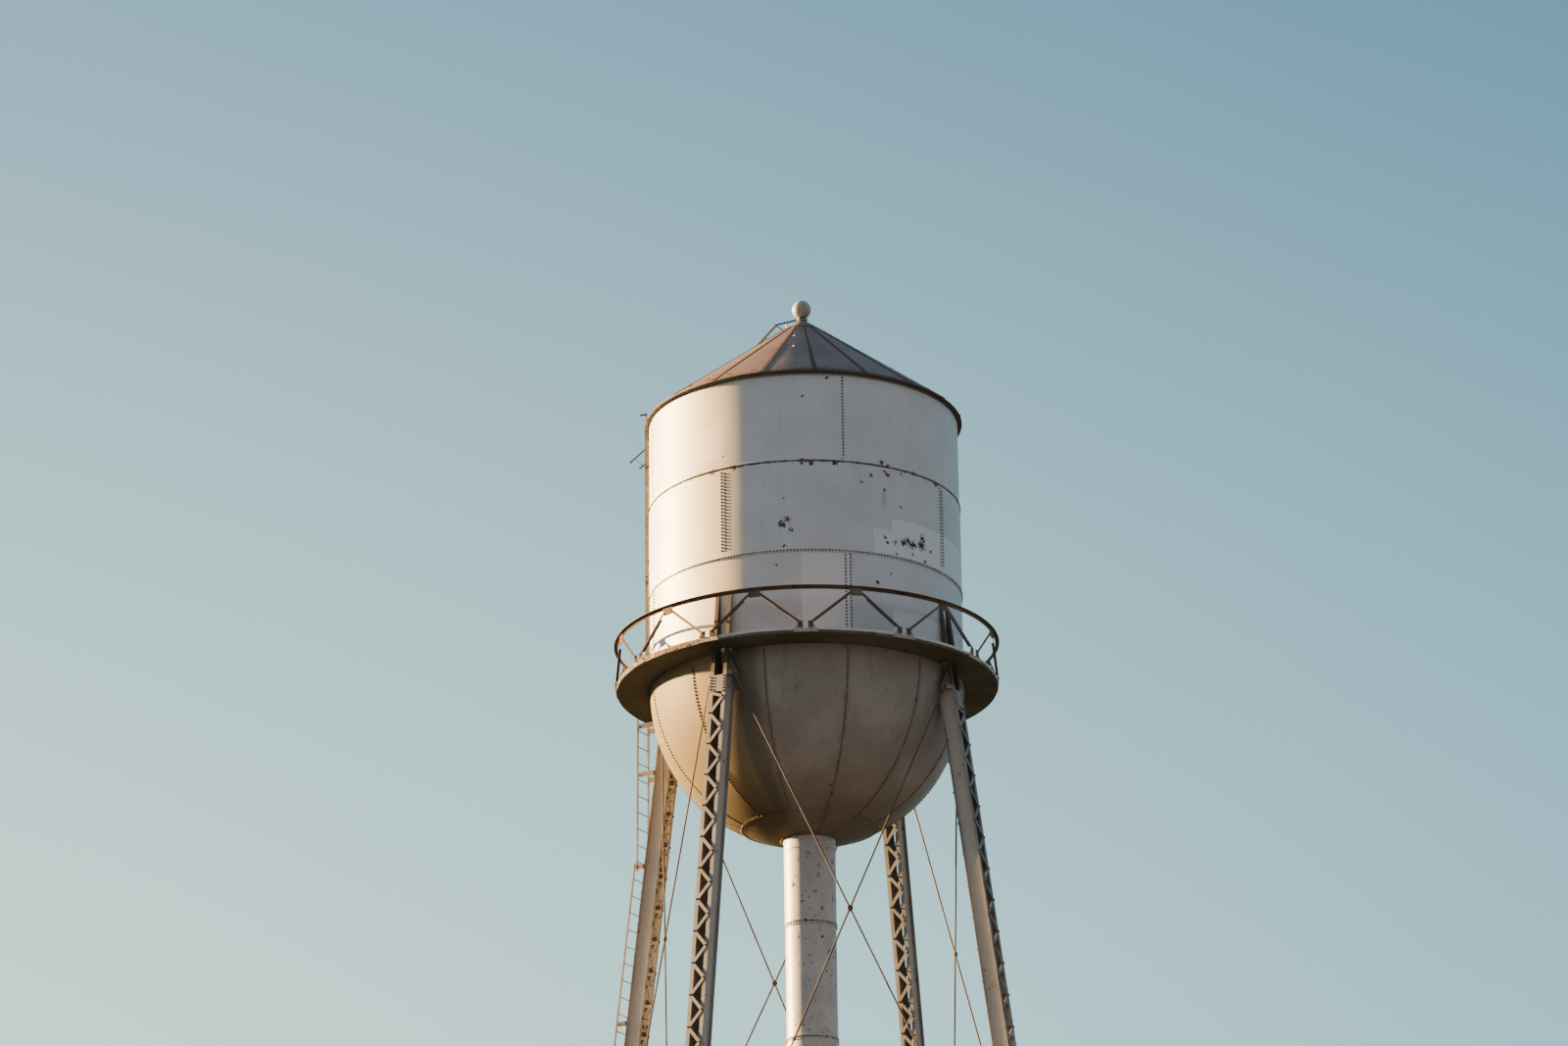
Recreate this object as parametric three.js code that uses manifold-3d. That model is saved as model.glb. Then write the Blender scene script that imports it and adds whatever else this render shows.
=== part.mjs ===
// Elevated riveted-steel water tower: a tank with a hemispherical bottom and a conical roof
// on four battered, laced legs, with rod bracing, a walkway, a riser pipe and ladders.
// Millimetres, +Z up. The origin is on the ground under the tank's axis, the front is -Y.
// An azimuth is measured from the front (-Y) towards +X, in degrees.

import * as THREE from 'three';
import { mergeVertices } from 'three/addons/utils/BufferGeometryUtils.js';
import Module from 'manifold-3d';

const wasm = await Module();
wasm.setup();

// Tank
const BALCONY_Z = 30300;
const TANK_R = 3050;
const TANK_WALL = 10;
const TANK_SIDES = 48;
const COURSE_LOW = 1870;
const COURSE_MIDDLE = 3670;
const SHELL_TOP = 5485;
const COURSE_GAP = 0.3;
const DISH_ANGLE = 65;
const GORE_STEPS = 9;
const RISER_R = 489;

// Roof
const EAVE_R = 3143;
const EAVE_Z = 5502;
const ROOF_EDGE_R = 3134;
const ROOF_SLOPE = 0.7373;
const ROOF_SHEET = 8;
const ROOF_TOP_R = 76.3;
const RIB_COUNT = 19;
const RIB_FIRST = -10.4;
const RIB_THICK = 10;
const RIB_WIDE = 92;
const RIB_NARROW = 38;
const CROWN_R = 436;
const CROWN_THICK = 12;
const BRACKET_AZIMUTH = -93.75;
const BRACKET_WIDE = 36;
const BRACKET_THICK = 20;
const BRACKET_TOP = 5616;
const BRACKET_REACH = 3282;
const BRACKET_DROOP = 38;
const FINIAL_R = 190;
const FINIAL_Z = 8018;
const NECK_R = 76;

// Walkway and handrail
const WALK_R = 3698;
const WALK_PLATE = 12;
const CURB_HIGH = 105;
const CURB_THICK = 8;
const RAIL_R = 3755;
const RAIL_TOP = 930;
const RAIL_LEG = 76;
const RAIL_DROP = 64;
const RAIL_THICK = 8;
const RAIL_NODES = 12;
const BRACE_WIDE = 48;
const BRACE_THICK = 8;
const GUSSET_THICK = 16;
const HEAD_WIDE = 136;
const HEAD_NARROW = 106;
const HEAD_DROP = 170;
const HEAD_SPREAD = 1.9;
const FOOT_SPREAD = 1.5;
const FOOT_REACH = 240;
const TAB_IN = 50;
const TAB_OUT = 146;
const TAB_HIGH = 216;

// Legs: two channels each, toes out, laced on the outer and inner faces
const LEG_R = 3081;
const LEG_BATTER = 0.1351;
const LEG_DEEP = 324;
const LEG_WIDE = 352;
const FLANGE = 78;
const WEB_THICK = 10;
const LEG_PAST_BALCONY = 1150;
const BATTEN_HIGH = 302;
const BATTEN_TOP = -575;
const BATTEN_SLANT = 66;
const INNER_BATTEN_TOP = -640;
const PLATE_THICK = 10;
const LACING_STEP = 313.5;
const LACING_REACH = 131;
const LACING_WIDE = 60;
const LACING_THICK = 10;
const LACING_HEAD = -925;
const LACING_TOP = -1030;
const LACING_BOTTOM = -28900;

// Piers and base plates
const PIER_HIGH = 500;
const PIER_TOP = 1100;
const PIER_FOOT = 1500;
const BASE_PLATE = 700;
const BASE_THICK = 40;
const RISER_PIER_R = 1150;
const RISER_PIER_HIGH = 900;

// Bracing: three panels of crossed rods on each face, with a strut at the two joints
const ROD = 34;
const ANCHOR_IN = 28;
const ANCHOR_SIDE = 251;
const LUG_THICK = 16;
const LUG_PAST = 60;
const TOP_LUG_PEAK = 338;
const TOP_LUG_EDGE = 100;
const TOP_LUG_NECK = 112;
const TOP_LUG_SHOULDER = 52;
const TOP_LUG_FOOT = -36;
const EYE = 35;
const PANEL_TOPS = [-492, -12650, -21480];
const PANEL_FEET = [-12170, -21000, -29300];
const STRUT_LEVELS = [-12410, -21240];
const STRUT_DEEP = 200;
const STRUT_WIDE = 90;
const STRUT_THICK = 9;

// Ladders
const RUNG_STEP = 335;
const RUNG = 20;
const STILE_THICK = 10;
const LEG_LADDER_HALF = 200;
const LEG_LADDER_FOOT = 2400;
const LEG_LADDER_OFF = 203;
const LEG_LADDER_DEEP = 40;
const LOWER_LADDER_TOP = -2880;
const UPPER_LADDER_FOOT = -3070;
const UPPER_LADDER_R_FOOT = 3790;
const UPPER_LADDER_R_TOP = 3760;
const LADDER_TIES = [-110, -1110, -2975, -6070, -9200, -12800, -16000, -19200, -22500, -25500];
const TIE_HALF_HIGH = 50;
const SHELL_LADDER_AZIMUTH = -108.75;
const SHELL_LADDER_HALF = 200;
const SHELL_LADDER_IN = 3085;
const SHELL_LADDER_OUT = 3135;
const ROOF_LADDER_AZIMUTH = -135;
const ROOF_LADDER_HALF = 160;
const ROOF_LADDER_OFF_HEAD = 290;
const ROOF_LADDER_OFF_FOOT = 190;
const ROOF_LADDER_IN = 490;
const ROOF_LADDER_OUT = 2930;
const COLLAR_R = 94;
const COLLAR_HIGH = 40;

const GAP = 0.3;
const FACES = ['front', 'right', 'back', 'left'];
const LEGS = ['front_right', 'back_right', 'back_left', 'front_left'];

const rad = THREE.MathUtils.degToRad;
const vec = (x, y, z) => new THREE.Vector3(x, y, z);
const above = (height) => BALCONY_Z + height;
const legRadius = (height) => LEG_R - LEG_BATTER * height;
const roofHeight = (r) => EAVE_Z + (EAVE_R - r) * ROOF_SLOPE;

const paint = (color, roughness, metalness) => (
  new THREE.MeshStandardMaterial({ color, roughness, metalness })
);
const tankPaint = paint(0xa9abac, 0.5, 0.25);
const bowlPaint = paint(0x9c948a, 0.55, 0.2);
const roofPaint = paint(0x63646b, 0.6, 0.2);
const ribPaint = paint(0x5d4a40, 0.75, 0.1);
const railPaint = paint(0x4f4033, 0.75, 0.1);
const walkPaint = paint(0x3d382c, 0.75, 0.1);
const legPaint = paint(0x85817d, 0.6, 0.2);
const rodPaint = paint(0x5b5550, 0.65, 0.3);
const ladderPaint = paint(0x86705c, 0.75, 0.2);
const riserPaint = paint(0x9a9b9c, 0.55, 0.2);
const concrete = paint(0x9b978e, 0.9, 0);

// Turns a closed geometry into a solid for joining and cutting
function solidOf(geometry, matrix = new THREE.Matrix4()) {
  const bare = geometry.clone();
  bare.deleteAttribute('normal');
  bare.deleteAttribute('uv');
  bare.applyMatrix4(matrix);
  const merged = mergeVertices(bare, 1e-3);
  const points = merged.attributes.position.array;
  const source = merged.index.array;
  const kept = [];
  for (let i = 0; i < source.length; i += 3) {
    const [a, b, c] = [source[i], source[i + 1], source[i + 2]];
    if (a !== b && b !== c && c !== a) {
      kept.push(a, b, c);
    }
  }
  let volume = 0;
  const corner = (index) => new THREE.Vector3().fromArray(points, index * 3);
  for (let i = 0; i < kept.length; i += 3) {
    volume += corner(kept[i]).dot(corner(kept[i + 1]).cross(corner(kept[i + 2])));
  }
  if (volume < 0) {
    kept.reverse();
  }
  return new wasm.Manifold(new wasm.Mesh({
    numProp: 3,
    vertProperties: new Float32Array(points),
    triVerts: new Uint32Array(kept),
  }));
}

// Adds a solid to a group as a named mesh
function addPiece(group, name, solid, material) {
  const mesh = solid.getMesh();
  const geometry = new THREE.BufferGeometry();
  geometry.setAttribute('position', new THREE.BufferAttribute(mesh.vertProperties, 3));
  geometry.setIndex(new THREE.BufferAttribute(mesh.triVerts, 1));
  const piece = new THREE.Mesh(geometry, material);
  piece.name = name;
  group.add(piece);
  return piece;
}

const join = (pieces) => pieces.reduce((whole, piece) => whole.add(piece));
const cutBy = (solid, cutters) => cutters.reduce((rest, cutter) => rest.subtract(cutter), solid);

// Local axes at an azimuth: X outwards, Y along the tangent, Z up
const atAzimuth = (azimuth) => new THREE.Matrix4().makeRotationZ(rad(azimuth - 90));
const shift = (x, y, z) => new THREE.Matrix4().makeTranslation(x, y, z);

// A body of revolution from [radius, height] pairs; a profile off the axis is closed
function turned(profile, sides, firstAzimuth = 0) {
  const closed = profile[0][0] > 0 || profile.at(-1)[0] > 0;
  const ring = closed ? [...profile, profile[0]] : profile;
  const points = ring.map(([r, z]) => new THREE.Vector2(r, z));
  const geometry = new THREE.LatheGeometry(points, sides, rad(firstAzimuth), Math.PI * 2);
  return solidOf(geometry, new THREE.Matrix4().makeRotationX(Math.PI / 2));
}

// An outline of [x, y] pairs made deep along Z
function prism(outline, depth, matrix) {
  const shape = new THREE.Shape(outline.map(([x, y]) => new THREE.Vector2(x, y)));
  return solidOf(new THREE.ExtrudeGeometry(shape, { depth, bevelEnabled: false }), matrix);
}

// A box between two corners
function block(low, high, matrix = new THREE.Matrix4()) {
  const size = high.map((value, i) => value - low[i]);
  const middle = high.map((value, i) => (value + low[i]) / 2);
  const place = matrix.clone().multiply(shift(...middle));
  return solidOf(new THREE.BoxGeometry(...size), place);
}

// A frame at a point, Z along a direction and X as close to a side direction as it can be
function frameAlong(point, direction, side) {
  const z = direction.clone().normalize();
  const x = side.clone().addScaledVector(z, -side.dot(z)).normalize();
  const y = z.clone().cross(x);
  return new THREE.Matrix4().makeBasis(x, y, z).setPosition(point);
}

// A flat bar between two points, its width along a side direction
function flatBar(from, to, width, thick, side, before = 0, after = 0) {
  const direction = to.clone().sub(from);
  const place = frameAlong(from, direction, side);
  const long = direction.length();
  return block([-width / 2, -thick / 2, -before], [width / 2, thick / 2, long + after], place);
}

// A round rod between two points
function roundBar(from, to, diameter, sides) {
  const direction = to.clone().sub(from);
  const long = direction.length();
  const lying = new THREE.Matrix4().makeRotationX(Math.PI / 2).setPosition(0, 0, long / 2);
  const place = frameAlong(from, direction, vec(0.31, 0.17, 0.93)).multiply(lying);
  return solidOf(new THREE.CylinderGeometry(diameter / 2, diameter / 2, long, sides), place);
}

const tower = new THREE.Group();

// Tank shell: three riveted courses
function course(bottom, top) {
  const inner = TANK_R - TANK_WALL;
  return turned([
    [inner, above(bottom)],
    [TANK_R, above(bottom)],
    [TANK_R, above(top)],
    [inner, above(top)],
  ], TANK_SIDES);
}
addPiece(tower, 'shell_course_bottom', course(COURSE_GAP, COURSE_LOW), tankPaint);
addPiece(tower, 'shell_course_middle', course(COURSE_LOW + COURSE_GAP, COURSE_MIDDLE), tankPaint);
addPiece(tower, 'shell_course_top', course(COURSE_MIDDLE + COURSE_GAP, SHELL_TOP), tankPaint);

// Hemispherical bottom: the gores, and the dish round the riser
function bowlBand(fromAngle, toAngle, outerSteps, innerSteps) {
  const at = (radius, angle) => [
    radius * Math.cos(rad(angle)),
    BALCONY_Z - radius * Math.sin(rad(angle)),
  ];
  const profile = [];
  for (let i = 0; i <= outerSteps; i += 1) {
    profile.push(at(TANK_R, fromAngle + (toAngle - fromAngle) * i / outerSteps));
  }
  for (let i = innerSteps; i >= 0; i -= 1) {
    profile.push(at(TANK_R - TANK_WALL, fromAngle + (toAngle - fromAngle) * i / innerSteps));
  }
  return turned(profile, TANK_SIDES);
}
const riserAngle = THREE.MathUtils.radToDeg(Math.acos(RISER_R / TANK_R));
addPiece(tower, 'bowl_gores', bowlBand(0, DISH_ANGLE, GORE_STEPS, 5), bowlPaint);
addPiece(tower, 'bowl_dish', bowlBand(DISH_ANGLE + 0.006, riserAngle, 2, 1), bowlPaint);

// Everything inside the tank's outer face, grown by the gap, for coping what meets it
const copeAt = (angle) => [
  (TANK_R + GAP) * Math.cos(rad(angle)),
  above(-(TANK_R + GAP) * Math.sin(rad(angle))),
];
const tankInside = turned([
  [0, above(-TANK_R - 10)],
  ...Array.from({ length: GORE_STEPS + 1 }, (_, i) => (
    copeAt(DISH_ANGLE * (1 - i / GORE_STEPS))
  )),
  [TANK_R + GAP, above(SHELL_TOP)],
  [0, above(SHELL_TOP)],
], TANK_SIDES);

// Conical roof: the sheets, the raised ribs with the crown plate, the rim and the finial
const roofSides = RIB_COUNT * 2;
const halfFacet = 360 / roofSides / 2;
const roofStart = RIB_FIRST - halfFacet;
addPiece(tower, 'roof_cone', turned([
  [ROOF_EDGE_R, above(roofHeight(ROOF_EDGE_R))],
  [ROOF_TOP_R, above(roofHeight(ROOF_TOP_R))],
  [ROOF_TOP_R, above(roofHeight(ROOF_TOP_R) - ROOF_SHEET)],
  [ROOF_EDGE_R, above(roofHeight(ROOF_EDGE_R) - ROOF_SHEET)],
], roofSides, roofStart), roofPaint);

const facetSlope = ROOF_SLOPE / Math.cos(rad(halfFacet));
const facetHeight = (r) => EAVE_Z + EAVE_R * ROOF_SLOPE - r * facetSlope;
function rib(azimuth) {
  const low = ROOF_EDGE_R * Math.cos(rad(halfFacet)) - 4;
  const high = CROWN_R - 50;
  const down = vec(1, 0, -facetSlope);
  const long = (low - high) * down.length();
  const outline = [
    [0, -RIB_NARROW / 2],
    [long, -RIB_WIDE / 2],
    [long, RIB_WIDE / 2],
    [0, RIB_NARROW / 2],
  ];
  const x = down.clone().normalize();
  const y = vec(0, 1, 0);
  const z = x.clone().cross(y);
  const start = vec(high, 0, above(facetHeight(high))).addScaledVector(z, GAP);
  const place = atAzimuth(azimuth).multiply(new THREE.Matrix4().makeBasis(x, y, z).setPosition(start));
  return prism(outline, RIB_THICK, place);
}
const crown = turned([
  [CROWN_R, above(roofHeight(CROWN_R) + 2 * GAP)],
  [CROWN_R, above(roofHeight(CROWN_R) + CROWN_THICK)],
  [ROOF_TOP_R, above(roofHeight(ROOF_TOP_R) + CROWN_THICK)],
  [ROOF_TOP_R, above(roofHeight(ROOF_TOP_R) + 2 * GAP)],
], roofSides, roofStart);
const ribs = Array.from({ length: RIB_COUNT }, (_, i) => rib(RIB_FIRST + i * 360 / RIB_COUNT));
addPiece(tower, 'roof_ribs', join([crown, ...ribs]), ribPaint);

const rimTop = roofHeight(ROOF_EDGE_R) - ROOF_SHEET - 0.5;
const rimFoot = SHELL_TOP + GAP;
addPiece(tower, 'roof_rim', turned([
  [TANK_R - TANK_WALL, above(rimFoot)],
  [EAVE_R, above(rimFoot)],
  [EAVE_R, above(rimTop)],
  [TANK_R - TANK_WALL, above(rimTop)],
], TANK_SIDES), ribPaint);

const flangeLow = roofHeight(ROOF_TOP_R) + CROWN_THICK + GAP;
const flangeTop = flangeLow + 14;
const ballProfile = Array.from({ length: 9 }, (_, i) => {
  const start = -Math.acos(NECK_R / FINIAL_R);
  const angle = start + (Math.PI / 2 - start) * i / 8;
  return [i === 8 ? 0 : FINIAL_R * Math.cos(angle), above(FINIAL_Z + FINIAL_R * Math.sin(angle))];
});
addPiece(tower, 'finial', turned([
  [0, above(flangeLow)],
  [100, above(flangeLow)],
  [100, above(flangeTop)],
  [NECK_R, above(flangeTop)],
  ...ballProfile,
], 16), roofPaint);

// Legs. The quarter is built at azimuth 45 and turned to the four corners.
const legSlope = Math.atan(LEG_BATTER);
const legFrame = atAzimuth(45)
  .multiply(shift(LEG_R, 0, BALCONY_Z))
  .multiply(new THREE.Matrix4().makeRotationY(-legSlope));
const legLow = -(BALCONY_Z - PIER_HIGH - BASE_THICK / 2) / Math.cos(legSlope) - 40;
const baseRadius = legRadius(-(BALCONY_Z - PIER_HIGH));

function channel(side) {
  const toe = LEG_WIDE / 2 * side;
  const web = (LEG_WIDE / 2 - FLANGE) * side;
  const outWeb = (LEG_WIDE / 2 - FLANGE + WEB_THICK) * side;
  const half = LEG_DEEP / 2;
  const outline = [
    [-half, web],
    [half, web],
    [half, toe],
    [half - WEB_THICK, toe],
    [half - WEB_THICK, outWeb],
    [-half + WEB_THICK, outWeb],
    [-half + WEB_THICK, toe],
    [-half, toe],
  ];
  const place = legFrame.clone().multiply(shift(0, 0, legLow));
  return prism(side > 0 ? outline.reverse() : outline, LEG_PAST_BALCONY - legLow, place);
}

// The face plane through the rod anchors, as [x, y, z] of the right-hand anchor on the front
function anchor(height) {
  const r = legRadius(height);
  const c = Math.SQRT1_2;
  return vec(
    c * (r + ANCHOR_IN) - c * ANCHOR_SIDE,
    -c * (r + ANCHOR_IN) - c * ANCHOR_SIDE,
    above(height),
  );
}
const faceUp = anchor(PANEL_TOPS[0]).setX(0).sub(anchor(PANEL_FEET[0]).setX(0)).normalize();

// A lug plate for the rods on the front face, let in behind the outer flange of the leg on its
// right; the top one is a kite
function lug(low, high, grow = 0) {
  const past = LUG_PAST + grow;
  const half = (high - low) / 2;
  const reach = (LEG_DEEP / 2 - ANCHOR_IN - WEB_THICK / 2) * Math.SQRT2 + grow;
  const edgeAt = (height) => reach - height * LEG_BATTER * Math.SQRT1_2;
  let middle = (low + high) / 2;
  let outline = [
    [edgeAt(-half), -half - grow],
    [edgeAt(half), half + grow],
    [-past, half + grow],
    [-past, -half - grow],
  ];
  if (low > PANEL_FEET[0]) {
    middle = PANEL_TOPS[0];
    outline = [
      [edgeAt(TOP_LUG_FOOT), TOP_LUG_FOOT - grow],
      [edgeAt(TOP_LUG_EDGE), TOP_LUG_EDGE + grow],
      [TOP_LUG_NECK + grow, TOP_LUG_PEAK / 2 + grow],
      [TOP_LUG_NECK * 0.62, TOP_LUG_PEAK + grow],
      [-past, TOP_LUG_SHOULDER + grow],
      [-past, TOP_LUG_FOOT - grow],
    ];
  }
  const lying = new THREE.Matrix4()
    .makeBasis(vec(1, 0, 0), vec(0, 0, 1), vec(0, -1, 0))
    .setPosition(0, LUG_THICK / 2 + grow, 0);
  const place = frameAlong(anchor(middle), faceUp, vec(1, 0, 0)).multiply(lying);
  return prism(outline, LUG_THICK + 2 * grow, place);
}
const LUG_SPANS = [
  [PANEL_TOPS[0] - 120, PANEL_TOPS[0] + 120],
  [PANEL_TOPS[1] - 130, PANEL_FEET[0] + 130],
  [PANEL_TOPS[2] - 130, PANEL_FEET[1] + 130],
  [PANEL_FEET[2] - 130, PANEL_FEET[2] + 120],
];
const mirrorX = new THREE.Matrix4().makeScale(-1, 1, 1);
const asMatrix = (solid, matrix) => solid.transform([...matrix.elements]);
const quarterTurn = new THREE.Matrix4().makeRotationZ(Math.PI / 2);
const lugsOn = (span, grow) => {
  const right = lug(...span, grow);
  const left = asMatrix(right, quarterTurn.clone().multiply(mirrorX));
  return [right, left];
};

// A plate across a leg's outer or inner face; its lower edge can drop by a slant to one side
function facePlate(low, high, side, slant = 0) {
  const edge = LEG_WIDE / 2;
  const start = side > 0 ? LEG_DEEP / 2 - 1 : -LEG_DEEP / 2 - PLATE_THICK;
  const place = legFrame.clone()
    .multiply(shift(start, 0, 0))
    .multiply(new THREE.Matrix4().makeBasis(vec(0, 1, 0), vec(0, 0, 1), vec(1, 0, 0)));
  return prism([[-edge, low], [edge, low - slant], [edge, high], [-edge, high]], PLATE_THICK + 1, place);
}
const belowBase = block(
  [-20000, -20000, -5000],
  [20000, 20000, PIER_HIGH + BASE_THICK / 2],
);
const basePlate = block(
  [-BASE_PLATE / 2, -BASE_PLATE / 2, PIER_HIGH + GAP],
  [BASE_PLATE / 2, BASE_PLATE / 2, PIER_HIGH + BASE_THICK],
  atAzimuth(45).multiply(shift(baseRadius, 0, 0)),
);
const legSolid = join([
  cutBy(join([
    channel(1),
    channel(-1),
    facePlate(BATTEN_TOP - BATTEN_HIGH, BATTEN_TOP, 1, BATTEN_SLANT),
    facePlate(INNER_BATTEN_TOP - BATTEN_HIGH, INNER_BATTEN_TOP, -1),
    facePlate(legLow, LACING_BOTTOM - 60, 1),
    facePlate(legLow, LACING_BOTTOM - 60, -1),
  ]), [tankInside, belowBase]),
  ...LUG_SPANS.flatMap((span) => lugsOn(span, 0)),
  basePlate,
]);

// Single lacing: one zigzag bar up a face of the leg, with a short bar under the outer batten
function lacing(top, side) {
  const count = Math.floor((top - LACING_BOTTOM) / LACING_STEP);
  const lean = Math.hypot(LACING_STEP, 2 * LACING_REACH) / LACING_STEP;
  const half = LACING_WIDE / 2 * lean;
  const line = Array.from({ length: count + 1 }, (_, i) => [
    top - i * LACING_STEP,
    i % 2 ? -LACING_REACH : LACING_REACH,
  ]);
  const outline = [
    ...line.map(([s, y]) => [s, y - half]),
    ...line.reverse().map(([s, y]) => [s, y + half]),
  ];
  const start = side > 0 ? LEG_DEEP / 2 + GAP : -LEG_DEEP / 2 - GAP - LACING_THICK;
  const place = legFrame.clone()
    .multiply(shift(start, 0, 0))
    .multiply(new THREE.Matrix4().makeBasis(vec(0, 0, 1), vec(0, 1, 0), vec(1, 0, 0)));
  const zigzag = prism(outline, LACING_THICK, place);
  if (side < 0) {
    return zigzag;
  }
  const middle = start + LACING_THICK / 2;
  const head = vec(middle, -LACING_REACH + 8, LACING_HEAD).applyMatrix4(legFrame);
  const foot = vec(middle, LACING_REACH, LACING_TOP).applyMatrix4(legFrame);
  const across = vec(0, 1, 1).transformDirection(legFrame);
  return zigzag.add(flatBar(head, foot, LACING_WIDE - 10, LACING_THICK, across, 8, 20));
}
const lacingOuter = lacing(LACING_TOP, 1);
const lacingInner = lacing(INNER_BATTEN_TOP - BATTEN_HIGH - 85, -1);

// Walkway: plate and curb, notched round the legs
const legEnvelope = block(
  [-LEG_DEEP / 2 - GAP, -LEG_WIDE / 2 - GAP, -600],
  [LEG_DEEP / 2 + GAP, LEG_WIDE / 2 + GAP, LEG_PAST_BALCONY],
  legFrame,
);
const turnedBy = (solid, quarter) => (
  asMatrix(solid, new THREE.Matrix4().makeRotationZ(quarter * Math.PI / 2))
);
const walkway = turned([
  [TANK_R + GAP, above(0)],
  [WALK_R, above(0)],
  [WALK_R, above(CURB_HIGH)],
  [WALK_R - CURB_THICK, above(CURB_HIGH)],
  [WALK_R - CURB_THICK, above(WALK_PLATE)],
  [TANK_R + GAP, above(WALK_PLATE)],
], TANK_SIDES);
addPiece(tower, 'balcony_floor', cutBy(walkway, [0, 1, 2, 3].map((quarter) => (
  turnedBy(legEnvelope, quarter)
))), walkPaint);

// Handrail: an angle ring, one leg hanging and the other pointing out, on pairs of sloping flat bars
// with a gusset at each head, and at each foot a plate with a tab for each bar
const railIn = RAIL_R - RAIL_LEG;
const railRing = turned([
  [railIn, above(RAIL_TOP - RAIL_DROP)],
  [railIn + RAIL_THICK, above(RAIL_TOP - RAIL_DROP)],
  [railIn + RAIL_THICK, above(RAIL_TOP - RAIL_THICK)],
  [RAIL_R, above(RAIL_TOP - RAIL_THICK)],
  [RAIL_R, above(RAIL_TOP)],
  [railIn, above(RAIL_TOP)],
], TANK_SIDES);
const onCylinder = (azimuth, r, z) => vec(
  r * Math.sin(rad(azimuth)),
  -r * Math.cos(rad(azimuth)),
  above(z),
);
const footR = WALK_R + GAP + GUSSET_THICK / 2;
const headR = railIn + RAIL_THICK + GUSSET_THICK / 2 - 2;
const railPieces = [railRing];
for (let node = 0; node < RAIL_NODES; node += 1) {
  const headAzimuth = node * 360 / RAIL_NODES;
  const footAzimuth = headAzimuth + 180 / RAIL_NODES;
  const head = atAzimuth(headAzimuth);
  const foot = atAzimuth(footAzimuth);
  railPieces.push(prism(
    [[-HEAD_WIDE, 0], [HEAD_WIDE, 0], [HEAD_NARROW, -HEAD_DROP], [-HEAD_NARROW, -HEAD_DROP]],
    GUSSET_THICK,
    head.clone()
      .multiply(shift(headR - GUSSET_THICK / 2, 0, above(RAIL_TOP - RAIL_THICK + 2)))
      .multiply(new THREE.Matrix4().makeBasis(vec(0, 1, 0), vec(0, 0, 1), vec(1, 0, 0))),
  ));
  railPieces.push(prism(
    [
      [-FOOT_REACH, 0],
      [FOOT_REACH, 0],
      [TAB_OUT, TAB_HIGH - 45],
      [TAB_OUT, TAB_HIGH],
      [TAB_IN, TAB_HIGH],
      [TAB_IN, 60],
      [-TAB_IN, 60],
      [-TAB_IN, TAB_HIGH],
      [-TAB_OUT, TAB_HIGH],
      [-TAB_OUT, TAB_HIGH - 45],
    ],
    GUSSET_THICK,
    foot.clone()
      .multiply(shift(WALK_R + GAP, 0, above(10)))
      .multiply(new THREE.Matrix4().makeBasis(vec(0, 1, 0), vec(0, 0, 1), vec(1, 0, 0))),
  ));
  for (const way of [-1, 1]) {
    const low = onCylinder(footAzimuth + way * FOOT_SPREAD, footR, TAB_HIGH - 30);
    const topAzimuth = footAzimuth + way * (180 / RAIL_NODES - HEAD_SPREAD);
    const high = onCylinder(topAzimuth, headR, RAIL_TOP - RAIL_DROP - 70);
    const side = high.clone().sub(low).cross(onCylinder(footAzimuth + way * 7.5, 1, -BALCONY_Z));
    railPieces.push(flatBar(low, high, BRACE_WIDE, BRACE_THICK, side));
  }
}
addPiece(tower, 'handrail', join(railPieces), railPaint);

// Bracing on the front face; the four faces are quarter turns of it
function rodPair(top, foot, spans) {
  const ends = [[anchor(top), anchor(foot)], [anchor(foot), anchor(top)]];
  const lugs = spans.map((span) => lug(...span, GAP));
  const mirrored = lugs.map((solid) => asMatrix(solid, mirrorX));
  const pieces = ends.map(([right, left]) => {
    const other = left.clone().setX(-left.x);
    const way = other.clone().sub(right).normalize();
    const start = right.clone().addScaledVector(way, -EYE);
    const end = other.clone().addScaledVector(way, EYE);
    return roundBar(start, end, ROD, 6);
  });
  return cutBy(join(pieces), [...lugs, ...mirrored]);
}
const legHull = block(
  [-LEG_DEEP / 2 - GAP, -LEG_WIDE / 2 - GAP, legLow],
  [LEG_DEEP / 2 + GAP, LEG_WIDE / 2 + GAP, 0],
  legFrame,
);
function strut(height, span) {
  const half = anchor(height);
  const back = STRUT_WIDE / 2;
  const outline = [
    [-STRUT_DEEP / 2, back],
    [-STRUT_DEEP / 2, -back],
    [STRUT_DEEP / 2, -back],
    [STRUT_DEEP / 2, back],
    [STRUT_DEEP / 2 - STRUT_THICK, back],
    [STRUT_DEEP / 2 - STRUT_THICK, -back + STRUT_THICK],
    [-STRUT_DEEP / 2 + STRUT_THICK, -back + STRUT_THICK],
    [-STRUT_DEEP / 2 + STRUT_THICK, back],
  ];
  const reach = half.x + 150;
  const place = new THREE.Matrix4()
    .makeBasis(vec(0, 0, 1), vec(0, 1, 0), vec(-1, 0, 0))
    .setPosition(reach, half.y + back - LUG_THICK / 2, half.z);
  const long = prism(outline, 2 * reach, place);
  const cutters = [legHull, lug(...span, GAP)];
  return cutBy(long, [...cutters, ...cutters.map((solid) => asMatrix(solid, mirrorX))]);
}
const rodPairs = PANEL_TOPS.map((top, i) => (
  rodPair(top, PANEL_FEET[i], [LUG_SPANS[i], LUG_SPANS[i + 1]])
));
const struts = STRUT_LEVELS.map((height, i) => strut(height, LUG_SPANS[i + 1]));

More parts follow.
